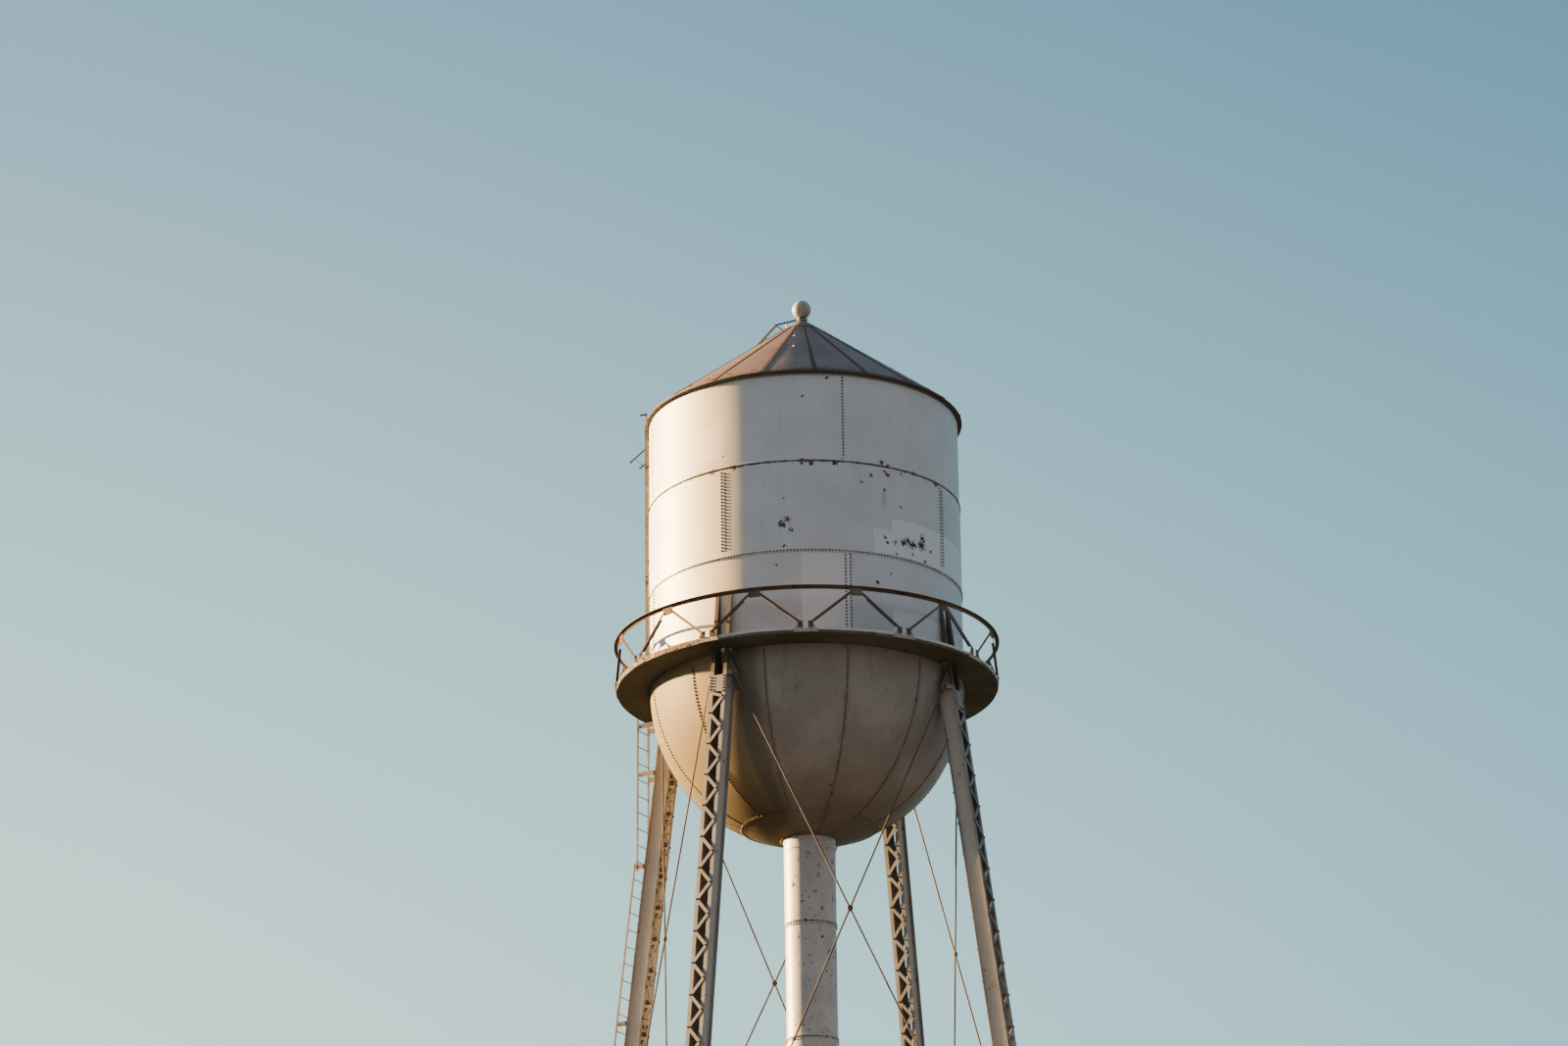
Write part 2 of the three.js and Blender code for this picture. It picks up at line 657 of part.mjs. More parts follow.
const pier = solidOf(
  new THREE.CylinderGeometry(PIER_TOP * Math.SQRT1_2, PIER_FOOT * Math.SQRT1_2, PIER_HIGH, 4),
  atAzimuth(45)
    .multiply(shift(baseRadius, 0, PIER_HIGH / 2))
    .multiply(new THREE.Matrix4().makeRotationZ(Math.PI / 4))
    .multiply(new THREE.Matrix4().makeRotationX(Math.PI / 2)),
);

FACES.forEach((face, quarter) => {
  const corner = new THREE.Group();
  corner.rotation.z = quarter * Math.PI / 2;
  const leg = LEGS[quarter];
  addPiece(corner, `leg_${leg}`, legSolid, legPaint);
  addPiece(corner, `lacing_outer_${leg}`, lacingOuter, legPaint);
  addPiece(corner, `lacing_inner_${leg}`, lacingInner, legPaint);
  addPiece(corner, `pier_${leg}`, pier, concrete);
  addPiece(corner, `rods_top_${face}`, rodPairs[0], rodPaint);
  addPiece(corner, `rods_middle_${face}`, rodPairs[1], rodPaint);
  addPiece(corner, `rods_bottom_${face}`, rodPairs[2], rodPaint);
  addPiece(corner, `strut_upper_${face}`, struts[0], legPaint);
  addPiece(corner, `strut_lower_${face}`, struts[1], legPaint);
  tower.add(corner);
});

// Riser pipe, flared against the dish, and the block that it stands on
const dishEdge = Math.sqrt(TANK_R ** 2 - RISER_R ** 2);
addPiece(tower, 'riser_pipe', turned([
  [RISER_R - 10, RISER_PIER_HIGH + GAP],
  [RISER_R, RISER_PIER_HIGH + GAP],
  [RISER_R, above(-dishEdge - 190)],
  [RISER_R + 6, above(-dishEdge - 70)],
  [RISER_R + 22, above(-dishEdge - 12)],
  [RISER_R + 22, above(-dishEdge - 0.4)],
  [RISER_R - 10, above(-dishEdge - 0.4)],
], 24), riserPaint);
addPiece(tower, 'riser_base', solidOf(
  new THREE.CylinderGeometry(RISER_PIER_R, RISER_PIER_R + 60, RISER_PIER_HIGH, 16),
  shift(0, 0, RISER_PIER_HIGH / 2).multiply(new THREE.Matrix4().makeRotationX(Math.PI / 2)),
), concrete);

// A stile: a bent flat bar through [radius, height] points, extruded across the ladder
function stile(line, deep, y) {
  const offsets = line.map(([r, z], i) => {
    const before = line[Math.max(i - 1, 0)];
    const after = line[Math.min(i + 1, line.length - 1)];
    const way = new THREE.Vector2(after[0] - before[0], after[1] - before[1]).normalize();
    return [r, z, way.y * deep / 2, -way.x * deep / 2];
  });
  const outline = [
    ...offsets.map(([r, z, dr, dz]) => [r + dr, z + dz]),
    ...offsets.reverse().map(([r, z, dr, dz]) => [r - dr, z - dz]),
  ];
  const place = shift(0, y + STILE_THICK / 2, 0).multiply(new THREE.Matrix4().makeRotationX(Math.PI / 2));
  return prism(outline, STILE_THICK, place);
}

// Square rungs at an even step along [radius, height] points
function rungs(line, half, first, last) {
  const made = [];
  let travelled = 0;
  let next = first;
  const total = line.slice(1).reduce((sum, [r, z], i) => (
    sum + Math.hypot(r - line[i][0], z - line[i][1])
  ), 0);
  line.slice(1).forEach(([r, z], i) => {
    const [r0, z0] = line[i];
    const long = Math.hypot(r - r0, z - z0);
    while (next <= travelled + long && next <= total - last) {
      const t = (next - travelled) / long;
      const [cr, cz] = [r0 + (r - r0) * t, z0 + (z - z0) * t];
      const reach = half - STILE_THICK / 4;
      made.push(block(
        [cr - RUNG / 2, -reach, cz - RUNG / 2],
        [cr + RUNG / 2, reach, cz + RUNG / 2],
      ));
      next += RUNG_STEP;
    }
    travelled += long;
  });
  return made;
}

// Leg ladder: a length parallel to the back left leg, and an upright one up to the handrail
const legFaceR = (height) => (
  legRadius(height) + LEG_DEEP / 2 / Math.cos(legSlope)
);
const lowerLadder = [
  [legFaceR(LOWER_LADDER_TOP) + LEG_LADDER_OFF, above(LOWER_LADDER_TOP)],
  [legFaceR(LEG_LADDER_FOOT - BALCONY_Z) + LEG_LADDER_OFF, LEG_LADDER_FOOT],
];
const upperLadder = [
  [UPPER_LADDER_R_FOOT, above(UPPER_LADDER_FOOT)],
  [UPPER_LADDER_R_TOP, above(RAIL_TOP - RAIL_LEG - GAP - 0.5)],
];
function legLadderR(height) {
  const [a, b] = height < LOWER_LADDER_TOP ? lowerLadder : upperLadder;
  return a[0] + (b[0] - a[0]) * (above(height) - a[1]) / (b[1] - a[1]);
}
function ladderTie(height) {
  const inner = legFaceR(height) + (LACING_THICK + 2 * GAP) / Math.cos(legSlope);
  const outer = legLadderR(height);
  const z = above(height);
  const lean = frameAlong(vec(inner, 0, z), vec(-LEG_BATTER, 0, 1), vec(1, 0, 0));
  const strap = block(
    [0, -LEG_LADDER_HALF - 5, -TIE_HALF_HIGH],
    [8, LEG_LADDER_HALF + 5, TIE_HALF_HIGH],
    lean,
  );
  const arm = (y) => block(
    [inner + 4 + LEG_BATTER * TIE_HALF_HIGH, y - 5, z - TIE_HALF_HIGH],
    [outer, y + 5, z + TIE_HALF_HIGH],
  );
  return [strap, arm(LEG_LADDER_HALF), arm(-LEG_LADDER_HALF)];
}
addPiece(tower, 'leg_ladder', asMatrix(join([
  ...[lowerLadder, upperLadder].flatMap((line) => [
    stile(line, LEG_LADDER_DEEP, LEG_LADDER_HALF),
    stile(line, LEG_LADDER_DEEP, -LEG_LADDER_HALF),
  ]),
  ...rungs(lowerLadder, LEG_LADDER_HALF, 333, 100),
  ...rungs(upperLadder, LEG_LADDER_HALF, 200, 100),
  ...LADDER_TIES.flatMap(ladderTie),
]), atAzimuth(-135)), ladderPaint);

// Shell ladder on one flat of the tank's side, held off it by clips
const facetR = TANK_R * Math.cos(rad(180 / TANK_SIDES));
const shellLadderMiddle = (SHELL_LADDER_IN + SHELL_LADDER_OUT) / 2;
const shellLadderDeep = SHELL_LADDER_OUT - SHELL_LADDER_IN;
const shellLadderTop = rimFoot - 0.5;
const shellLadderLine = [
  [shellLadderMiddle, above(WALK_PLATE + GAP)],
  [shellLadderMiddle, above(shellLadderTop)],
];
const clips = [700, 2700, 4700].flatMap((height) => [-1, 1].map((side) => {
  const y = side * SHELL_LADDER_HALF;
  return block(
    [facetR + GAP, y - 5, above(height)],
    [SHELL_LADDER_IN + 5, y + 5, above(height + 60)],
  );
}));
addPiece(tower, 'shell_ladder', asMatrix(join([
  stile(shellLadderLine, shellLadderDeep, SHELL_LADDER_HALF),
  stile(shellLadderLine, shellLadderDeep, -SHELL_LADDER_HALF),
  ...rungs(shellLadderLine, SHELL_LADDER_HALF, 300, 120),
  ...clips,
]), atAzimuth(SHELL_LADDER_AZIMUTH)), ladderPaint);

// A small Z bracket bolted under the rim, with a drooping arm at its head
const rimFacetR = EAVE_R * Math.cos(rad(180 / TANK_SIDES)) + GAP;
addPiece(tower, 'eave_bracket', prism([
  [rimFacetR - 60, above(rimFoot - GAP - 8)],
  [rimFacetR + BRACKET_THICK, above(rimFoot - GAP - 8)],
  [rimFacetR + BRACKET_THICK, above(BRACKET_TOP - BRACKET_THICK - 6)],
  [BRACKET_REACH - 6, above(BRACKET_TOP - BRACKET_DROOP - BRACKET_THICK - 2)],
  [BRACKET_REACH, above(BRACKET_TOP - BRACKET_DROOP)],
  [rimFacetR + BRACKET_THICK / 2, above(BRACKET_TOP)],
  [rimFacetR, above(BRACKET_TOP)],
  [rimFacetR, above(rimFoot - GAP)],
  [rimFacetR - 60, above(rimFoot - GAP)],
], BRACKET_WIDE, atAzimuth(BRACKET_AZIMUTH)
  .multiply(shift(0, BRACKET_WIDE / 2, 0))
  .multiply(new THREE.Matrix4().makeRotationX(Math.PI / 2))), ribPaint);

// A small sloping arm on the shell ladder, with a shorter bar under it and a thin link
const armY = SHELL_LADDER_HALF;
const armRod = (from, to, size) => roundBar(
  vec(from[0], armY, above(from[1])),
  vec(to[0], armY, above(to[1])),
  size,
  6,
);
addPiece(tower, 'side_arm', asMatrix(cutBy(join([
  armRod([3100, 5124], [3426, 4828], 32),
  armRod([3100, 4817], [3245, 4686], 34),
  armRod([3338, 4900], [3170, 4752], 12),
]), [block(
  [3000, armY - 100, above(4500)],
  [SHELL_LADDER_OUT + GAP, armY + 100, above(5400)],
)]), atAzimuth(SHELL_LADDER_AZIMUTH)), rodPaint);

// Roof ladder: hung on a collar that turns round the finial's neck
const roofLadder = new THREE.Group();
const collar = turned([
  [COLLAR_R - 14, above(flangeTop + 0.5)],
  [COLLAR_R, above(flangeTop + 0.5)],
  [COLLAR_R, above(flangeTop + COLLAR_HIGH)],
  [COLLAR_R - 14, above(flangeTop + COLLAR_HIGH)],
], 16);
const ladderHead = above(roofHeight(ROOF_LADDER_IN) + ROOF_LADDER_OFF_HEAD);
const ladderFoot = above(roofHeight(ROOF_LADDER_OUT) + ROOF_LADDER_OFF_FOOT);
const roofLadderLine = [
  [ROOF_LADDER_IN, ladderHead],
  [ROOF_LADDER_OUT, ladderFoot],
];
const sidesOfRoofLadder = [-1, 1].flatMap((side) => {
  const y = side * ROOF_LADDER_HALF;
  const collarZ = above(flangeTop + COLLAR_HIGH * 0.4);
  const from = vec(COLLAR_R - 6, side * 40, collarZ);
  const to = vec(ROOF_LADDER_IN, y, ladderHead);
  const foot = ladderFoot - ROOF_LADDER_OFF_FOOT + 40;
  return [
    stile(roofLadderLine, 40, y),
    flatBar(from, to, 30, 12, vec(0, 0, 1), 4, 6),
    block(
      [ROOF_LADDER_OUT - 36, y - 5, foot],
      [ROOF_LADDER_OUT - 2, y + 5, ladderFoot],
    ),
  ];
});
addPiece(roofLadder, 'roof_ladder', asMatrix(join([
  collar,
  ...sidesOfRoofLadder,
  ...rungs(roofLadderLine, ROOF_LADDER_HALF, 20, 60),
]), atAzimuth(ROOF_LADDER_AZIMUTH)), rodPaint);
tower.add(roofLadder);

export default tower;
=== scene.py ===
import bpy
import numpy as np
from mathutils import Matrix


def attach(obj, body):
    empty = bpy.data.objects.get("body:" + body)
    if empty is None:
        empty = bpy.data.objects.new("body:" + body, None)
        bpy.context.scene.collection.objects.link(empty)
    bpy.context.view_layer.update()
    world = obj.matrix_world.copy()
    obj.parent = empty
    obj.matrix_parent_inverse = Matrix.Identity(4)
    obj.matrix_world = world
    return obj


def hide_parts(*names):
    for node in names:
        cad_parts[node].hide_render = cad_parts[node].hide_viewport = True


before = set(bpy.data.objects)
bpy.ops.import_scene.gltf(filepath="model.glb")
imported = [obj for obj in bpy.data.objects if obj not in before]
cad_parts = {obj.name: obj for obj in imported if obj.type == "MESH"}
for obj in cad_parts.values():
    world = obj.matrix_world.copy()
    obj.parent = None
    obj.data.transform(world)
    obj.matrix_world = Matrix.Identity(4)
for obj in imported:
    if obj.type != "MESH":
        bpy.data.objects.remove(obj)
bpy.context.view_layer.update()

# Camera. It stands 90 m off, to the left of the front, at head height, and looks up at the tank.
# Its aim was solved from the walkway, the seams, the eave and the legs.
CAMERA_PLACE = (0.0, -89.7587, 1.6164)
CAMERA_AZIMUTH = -14.8
CAMERA_LENS = 111.253
yaw, pitch, roll = np.radians([-0.2597, 19.7270, -0.7887])
ahead = np.array([np.sin(yaw) * np.cos(pitch), np.cos(yaw) * np.cos(pitch), np.sin(pitch)])
level = np.array([np.cos(yaw), -np.sin(yaw), 0.0])
square = np.cross(level, ahead)
across = np.cos(roll) * level + np.sin(roll) * square
upwards = np.cos(roll) * square - np.sin(roll) * level
aim = np.eye(4)
aim[:3] = np.column_stack([across, upwards, -ahead, CAMERA_PLACE])
camera = bpy.data.objects.new("camera", bpy.data.cameras.new("camera"))
camera.data.lens = CAMERA_LENS
camera.data.sensor_width = 36.0
camera.data.clip_end = 2000.0
camera.matrix_world = Matrix.Rotation(np.radians(CAMERA_AZIMUTH), 4, "Z") @ Matrix(aim.tolist())
bpy.context.scene.collection.objects.link(camera)
bpy.context.scene.camera = camera

# Tank shell. Three courses of rolled steel plates, lapped and riveted, four plates to a course.
# The middle course laps outside its neighbours; the oil paint is chalky and flakes along the seams.
WALK = 30.3
UP = (0.0, 0.0, 1.0)
TANK_R = 3.05
PLATE = 0.010
COURSES = {"bottom": (0.0003, 1.87), "middle": (1.87, 3.67), "top": (3.67, 5.485)}
COURSE_LAP = 0.036
RIVET_R = 0.024
RIVET_HIGH = 0.012
RIVET_PITCH = 0.066
RUST_DARK = (0.030, 0.017, 0.012)
RUST_BROWN = (0.115, 0.052, 0.026)
RUST_ORANGE = (0.36, 0.16, 0.065)
TANK_GREY = (0.70, 0.68, 0.665)
TANK_CHALK = (0.765, 0.75, 0.745)
TANK_GRIME = (0.36, 0.33, 0.31)
FLAKES = [
    (-22.74, 2.39, 0.13), (-19.78, 2.263, 0.08), (-21.13, 2.484, 0.11), (-22.32, 1.954, 0.05),
    (-22.19, 2.904, 0.05), (9.98, 3.469, 0.07), (6.19, 3.293, 0.05), (15.82, 3.562, 0.07),
    (17.04, 3.509, 0.06), (22.9, 3.591, 0.06), (15.16, 3.186, 0.07), (22.29, 2.923, 0.05),
    (14.99, 2.227, 0.07), (16.09, 2.127, 0.07), (19.51, 2.165, 0.08), (23.36, 2.198, 0.13),
    (25.45, 2.241, 0.16), (27.58, 2.206, 0.14), (28.89, 2.193, 0.09), (32.76, 2.392, 0.14),
    (32.14, 2.244, 0.17), (37.39, 2.176, 0.07), (19.92, 1.943, 0.05), (27.46, 2.01, 0.05),
    (33.82, 1.948, 0.07), (17.69, 1.526, 0.05), (12.04, 1.302, 0.06), (12.43, 1.114, 0.05),
    (-24.89, 1.589, 0.05), (-14.84, 4.99, 0.05), (-5.93, 5.38, 0.05), (-45.37, 3.939, 0.05),
    (-49.69, 3.661, 0.09), (-40.65, 3.655, 0.08), (-15.37, 3.666, 0.10), (-12.22, 3.624, 0.08),
    (-3.78, 3.629, 0.09), (14.44, 3.74, 0.08), (16.93, 3.70, 0.08), (28.91, 3.684, 0.09),
    (41.33, 3.65, 0.10), (2.6, 4.90, 0.02), (2.9, 4.70, 0.025), (2.5, 4.52, 0.02),
]


class Mask:
    """A number that a finish works out at each point; Python's operators on it add Math nodes."""

    def __init__(self, finish, socket):
        self.finish = finish
        self.socket = socket

    def math(self, operation, *others):
        node = self.finish.node("ShaderNodeMath", dict(enumerate((self, *others))), operation=operation)
        return Mask(self.finish, node.outputs[0])

    def __add__(self, other):
        return self.math("ADD", other)

    def __sub__(self, other):
        return self.math("SUBTRACT", other)

    def __mul__(self, other):
        return self.math("MULTIPLY", other)

    def __truediv__(self, other):
        return self.math("DIVIDE", other)

    def __mod__(self, other):
        return self.math("FLOORED_MODULO", other)

    def __neg__(self):
        return self.math("MULTIPLY", -1.0)

    def __abs__(self):
        return self.math("ABSOLUTE")

    def __rsub__(self, other):
        return (-self).math("ADD", other)

    __radd__ = __add__
    __rmul__ = __mul__

    def larger(self, other):
        return self.math("MAXIMUM", other)

    def ramp(self, low, high):
        """0 up to low, 1 from high on, and a smooth rise between; falls instead where low is above high."""
        ends = (low, high, 0.0, 1.0) if low < high else (high, low, 1.0, 0.0)
        sockets = dict(enumerate((self, *ends)))
        node = self.finish.node("ShaderNodeMapRange", sockets, interpolation_type="SMOOTHSTEP")
        return Mask(self.finish, node.outputs[0])

    def band(self, low, low_full, high_full, high):
        """1 between the two full values, and down to 0 at the low and the high one."""
        return self.ramp(low, low_full) * self.ramp(high, high_full)

    def offset(self, gap):
        """How far this lies past the nearest multiple of a gap, or short of it, where it is below zero."""
        return (self + gap / 2) % gap - gap / 2


class Mixing:
    """A node tree under way, with the calls that add to it."""

    def __init__(self, owner):
        owner.use_nodes = True
        self.tree = owner.node_tree

    def join(self, node, sockets):
        """Gives each named or numbered socket of a node its value or its link."""
        for name, value in sockets.items():
            value = value.socket if isinstance(value, Mask) else value
            if isinstance(value, bpy.types.NodeSocket):
                self.tree.links.new(node.inputs[name], value)
            elif node.inputs[name].type == "RGBA":
                node.inputs[name].default_value = (*value, 1.0)
            else:
                node.inputs[name].default_value = value

    def node(self, kind, sockets=None, **settings):
        """Adds a node: its settings first, then its sockets."""
        node = self.tree.nodes.new(kind)
        for name, value in settings.items():
            setattr(node, name, value)
        self.join(node, sockets or {})
        return node

    def mixed(self, share, first, second):
        """The first colour with a share of the second over it."""
        return self.node("ShaderNodeMix", {0: share, 6: first, 7: second}, data_type="RGBA").outputs[2]

    def over(self, colour, *coats):
        """The colour under some coats, each a share and a tint, laid on one after another."""
        for share, tint in coats:
            colour = self.mixed(share, colour, tint)
        return colour


class Finish(Mixing):
    """A surface finish under way: a material, its shader and the point that is being coloured."""

    def __init__(self, name):
        self.material = bpy.data.materials.new(name)
        super().__init__(self.material)
        self.shader = self.tree.nodes["Principled BSDF"]
        self.point = self.node("ShaderNodeTexCoord").outputs["Object"]
        axes = self.node("ShaderNodeSeparateXYZ", {0: self.point}).outputs
        self.x, self.y, self.z = (Mask(self, socket) for socket in axes)
        self.azimuth = self.x.math("ARCTAN2", -self.y)
        self.height = self.z - WALK

    def from_axis(self):
        """The distance from the tower's axis."""
        return (self.x * self.x + self.y * self.y).math("SQRT")

    def sun_side(self, start, full):
        """1 on the sunlit side, which begins between two azimuths in radians and ends at the back; the
        finishes paint light and shade by it.
        """
        return self.azimuth.band(-3.0, -2.7, full, start)

    def vector(self, operation, *values):
        """What a Vector Math node makes of some vectors."""
        node = self.node("ShaderNodeVectorMath", dict(enumerate(values)), operation=operation)
        return node.outputs["Value" if operation == "DISTANCE" else "Vector"]

    def cloud(self, lumps, detail, rough, stretch=(1.0, 1.0, 1.0), seed=0.0):
        """A cloudy number from 0 to 1, of this many lumps to the metre, times the stretch along each axis."""
        moved = self.vector("MULTIPLY_ADD", self.point, stretch, (seed * 7.3, seed * 3.1, seed * 5.7))
        sockets = {"Vector": moved, "Scale": lumps, "Detail": detail, "Roughness": rough}
        return Mask(self, self.node("ShaderNodeTexNoise", sockets).outputs[0])

    def chips(self, lumps):
        """A number from 0 to 1, the same all over each angular chip, with this many chips to the metre."""
        bent = self.node("ShaderNodeTexNoise", {"Vector": self.point, "Scale": lumps * 1.7, "Detail": 3.0})
        moved = self.vector("MULTIPLY_ADD", bent.outputs["Color"], (0.6 / lumps,) * 3, self.point)
        sockets = {"Vector": moved, "Scale": lumps, "Randomness": 1.0}
        cells = self.node("ShaderNodeTexVoronoi", sockets, distance="CHEBYCHEV")
        return Mask(self, self.node("ShaderNodeSeparateColor", {0: cells.outputs["Color"]}).outputs[0])

    def spots(self, places, tall=1.0):
        """Highest in the middle of each spot, at points given as azimuth, height and radius on the shell."""
        squash = (1.0, 1.0, 1.0 / tall)
        squashed = self.vector("MULTIPLY", self.point, squash)
        best = None
        for azimuth, height, radius in places:
            middle = tuple(at(azimuth, TANK_R, height) * squash)
            inside = 1.0 - Mask(self, self.vector("DISTANCE", squashed, middle)) / radius
            best = inside if best is None else best.larger(inside)
        return best

    def done(self, colour, roughness, relief, deep):
        """Joins colour, roughness and a height that makes relief of this many metres to the shader."""
        bump = self.node("ShaderNodeBump", {"Strength": 1.0, "Distance": deep, "Height": relief})
        self.join(self.shader, {"Base Color": colour, "Roughness": roughness, "Normal": bump.outputs[0]})
        return self.material


def old_paint(
    name, paint, chalk, grime, rusted=0.5, streaked=0.3, seed=1.0, extra=None, dull=0.46, gloss=0.5
):
    """Oil paint on steel: chalky clouds, grime that runs down, and rust that breaks through in specks and
    patches, more of it as rusted nears 1; extra adds this piece's own rust and stains, and on most pieces
    painted light and shade too; dull is how rough the paint is where it is whole, and gloss how much it
    reflects."""
    finish = Finish(name)
    finish.join(finish.shader, {"Specular IOR Level": gloss})
    clouds = finish.cloud(1.1, 5.0, 0.6, seed=seed)
    runs = finish.cloud(9.0, 4.0, 0.6, (1.0, 1.0, 0.06), seed + 1.0)
    fine = finish.cloud(26.0, 6.0, 0.65, seed=seed + 2.0)
    patchy = finish.cloud(3.2, 8.0, 0.7, seed=seed + 3.0)
    colour = finish.over(
        finish.mixed(clouds.ramp(0.38, 0.66), paint, chalk),
        (runs.ramp(0.52, 0.78) * streaked, grime),
        ((fine - 0.5) * 0.35 + 0.12, grime),
    )
    bare = 0.80 - 0.32 * rusted
    rust = (patchy + fine * 0.35 - 0.175).ramp(bare, bare + 0.05)
    if extra is not None:
        colour, rust = extra(finish, colour, rust)
    brown = finish.cloud(17.0, 5.0, 0.7, seed=seed + 4.0).ramp(0.35, 0.65)
    orange = finish.cloud(8.0, 5.0, 0.7, seed=seed + 5.0).ramp(0.56, 0.72)
    tone = finish.over(RUST_DARK, (brown, RUST_BROWN), (orange, RUST_ORANGE))
    colour = finish.mixed(rust, colour, tone)
    roughness = dull + (0.86 - dull) * rust + 0.18 * (clouds - 0.5)
    relief = finish.cloud(0.6, 2.0, 0.4, seed=seed + 6.0) + fine * 0.03 - rust * 0.08
    return finish.done(colour, roughness, relief, 0.012)


def tank_wear_and_painted_light(finish, colour, rust):
    """Rust in the seams, single flakes with stains under them, and stepped touch-up patches; painted light
    whitens the sunlit side and warms it by the terminator, painted shade darkens the shade side low down,
    and the brown under the eave on the shade side is part grime, part painted shade.
    """
    quarter = np.pi / 2
    low_seam, high_seam = COURSES["middle"]
    middle = finish.height.band(low_seam - 0.002, low_seam + 0.002, high_seam - 0.002, high_seam + 0.002)
    upright = abs((finish.azimuth + middle * quarter / 2).offset(quarter)) * TANK_R
    ragged = finish.cloud(11.0, 7.0, 0.75, seed=21.0)
    upper = abs(finish.height - (high_seam - 0.002))
    lower = abs(finish.height - (low_seam - 0.002))
    seams = (ragged * 0.085 - 0.022 - upper).ramp(0.0, 0.010)
    seams = seams.larger((ragged * 0.060 - 0.026 - lower).ramp(0.0, 0.008) * 0.8)
    seams = seams.larger((ragged * 0.070 - 0.034 - upright).ramp(0.0, 0.010) * 0.7)
    flakes = (finish.spots(FLAKES) + finish.chips(40.0) * 0.75 + ragged * 0.7 - 1.22).ramp(0.0, 0.05)
    stain = finish.spots([(15.2, 3.02, 0.10), (33.0, 2.05, 0.10), (26.0, 2.02, 0.12)], 2.6)
    stain = (stain + ragged - 0.6).ramp(0.0, 0.7) * 0.5
    runs = finish.cloud(16.0, 4.0, 0.6, (1.0, 1.0, 0.05), 23.0).ramp(0.52, 0.72)
    below = finish.height.band(2.4, high_seam - 0.01, high_seam - 0.006, high_seam + 0.002)
    stain = stain.larger(runs * below * 0.22)
    shady = finish.azimuth.ramp(-0.95, -0.50)
    # Painted light: the sunlit side whitened to a bluish white.
    painted_sunlit_white = finish.sun_side(-0.85, -1.20) * finish.height.ramp(0.2, 1.4)
    # Painted light: a warm cream band on the lit side by the terminator.
    painted_terminator_warmth = finish.azimuth.band(-1.15, -0.92, -0.74, -0.58)
    eave = (finish.height + ragged * 0.04).ramp(5.41, 5.50)
    colour = finish.over(
        colour,
        (stain, (0.46, 0.32, 0.17)),
        (painted_sunlit_white * 0.8, (0.78, 0.90, 0.97)),
        (painted_terminator_warmth * 0.5, (0.80, 0.64, 0.36)),
        # Painted shade: the shade side darker low down, below the rail.
        (finish.height.ramp(1.05, 0.75) * shady * 0.35, (0.40, 0.40, 0.42)),
        # Brown under the eave on the shade side only: part grime, part painted shade.
        (eave * shady * 0.8, (0.22, 0.17, 0.12)),
    )
    for west, east, foot, head, share in (
        (10.4, 90.0, 1.90, 2.383, 0.80),
        (18.2, 90.0, 2.383, 2.643, 0.80),
        (-16.3, 1.0, 0.10, 1.80, 0.55),
        (17.9, 60.0, 0.05, 0.80, 0.55),
        (-78.0, -46.0, 3.9, 4.6, 0.35),
        (96.0, 131.0, 2.1, 2.9, 0.45),
        (-170.0, -140.0, 0.5, 1.3, 0.45),
        (150.0, 171.0, 3.9, 4.7, 0.40),
    ):
        west, east = np.radians((west, east))
        inside = finish.azimuth.band(west, west + 0.004, east, east + 0.004)
        inside = inside * finish.height.band(foot, foot + 0.012, head, head + 0.012)
        colour = finish.mixed(inside * share, colour, (0.87, 0.86, 0.85))
    return colour, rust.larger(seams).larger(flakes)


def outward(points, quads, fans):
    """Turns all faces over where the skin's signed volume, summed over its triangles, is below zero."""
    corners = np.vstack([quads[:, [0, 1, 2]], quads[:, [0, 2, 3]], fans])
    a, b, c = (points[corners[:, n]] - points.mean(0) for n in range(3))
    if np.sum(a * np.cross(b, c)) < 0:
        quads, fans = quads[:, ::-1], fans[:, ::-1]
    return points, quads, fans


def loft(rings, closed=False):
    """A skin over rings of points, each ring a loop: four-sided faces from ring to ring, and a fan over each
    end, unless the last ring joins the first."""
    rings = np.asarray(rings, float)
    count, round_it = rings.shape[:2]
    here = np.arange(count if closed else count - 1)[:, None]
    j = np.arange(round_it)[None, :]
    then = (here + 1) % count
    k = (j + 1) % round_it
    corners = [here * round_it + j, here * round_it + k, then * round_it + k, then * round_it + j]
    quads = np.stack(corners, -1).reshape(-1, 4)
    points = rings.reshape(-1, 3)
    fans = np.zeros((0, 3), int)
    if not closed:
        last = (count - 1) * round_it
        first_fan = np.stack([k, j, 0 * j + count * round_it], -1).reshape(-1, 3)
        last_fan = np.stack([last + j, last + k, 0 * j + count * round_it + 1], -1).reshape(-1, 3)
        fans = np.vstack([first_fan, last_fan])
        points = np.vstack([points, rings[0].mean(0), rings[-1].mean(0)])
    return outward(points, quads, fans)


def at(azimuth, radius, height, tangent=0.0):
    """Points from an azimuth in degrees, a distance from the axis, a height over the walkway, and a step to
    the side: x = r sin a + t cos a, y = t sin a - r cos a."""
    a = np.radians(azimuth)
    parts = np.broadcast_arrays(
        radius * np.sin(a) + tangent * np.cos(a), tangent * np.sin(a) - radius * np.cos(a), WALK + height
    )
    return np.stack(parts, -1).astype(float)


def away(azimuth):
    """The level direction away from the axis at an azimuth."""
    return at(azimuth, 1.0, -WALK)


def even(count=192):
    """Azimuths that share out the whole turn."""
    return np.arange(count) * 360.0 / count


def spun(profile, azimuths=None, proud=0.0):
    """A closed ring: a loop of radius and height points carried round the axis, each radius grown by a
    proud amount that may differ from azimuth to azimuth and from point to point."""
    azimuths = even() if azimuths is None else azimuths
    profile = np.asarray(profile, float)
    radius = profile[None, :, 0] + np.zeros((len(azimuths), 1)) + proud
    return loft(at(azimuths[:, None], radius, profile[None, :, 1]), closed=True)


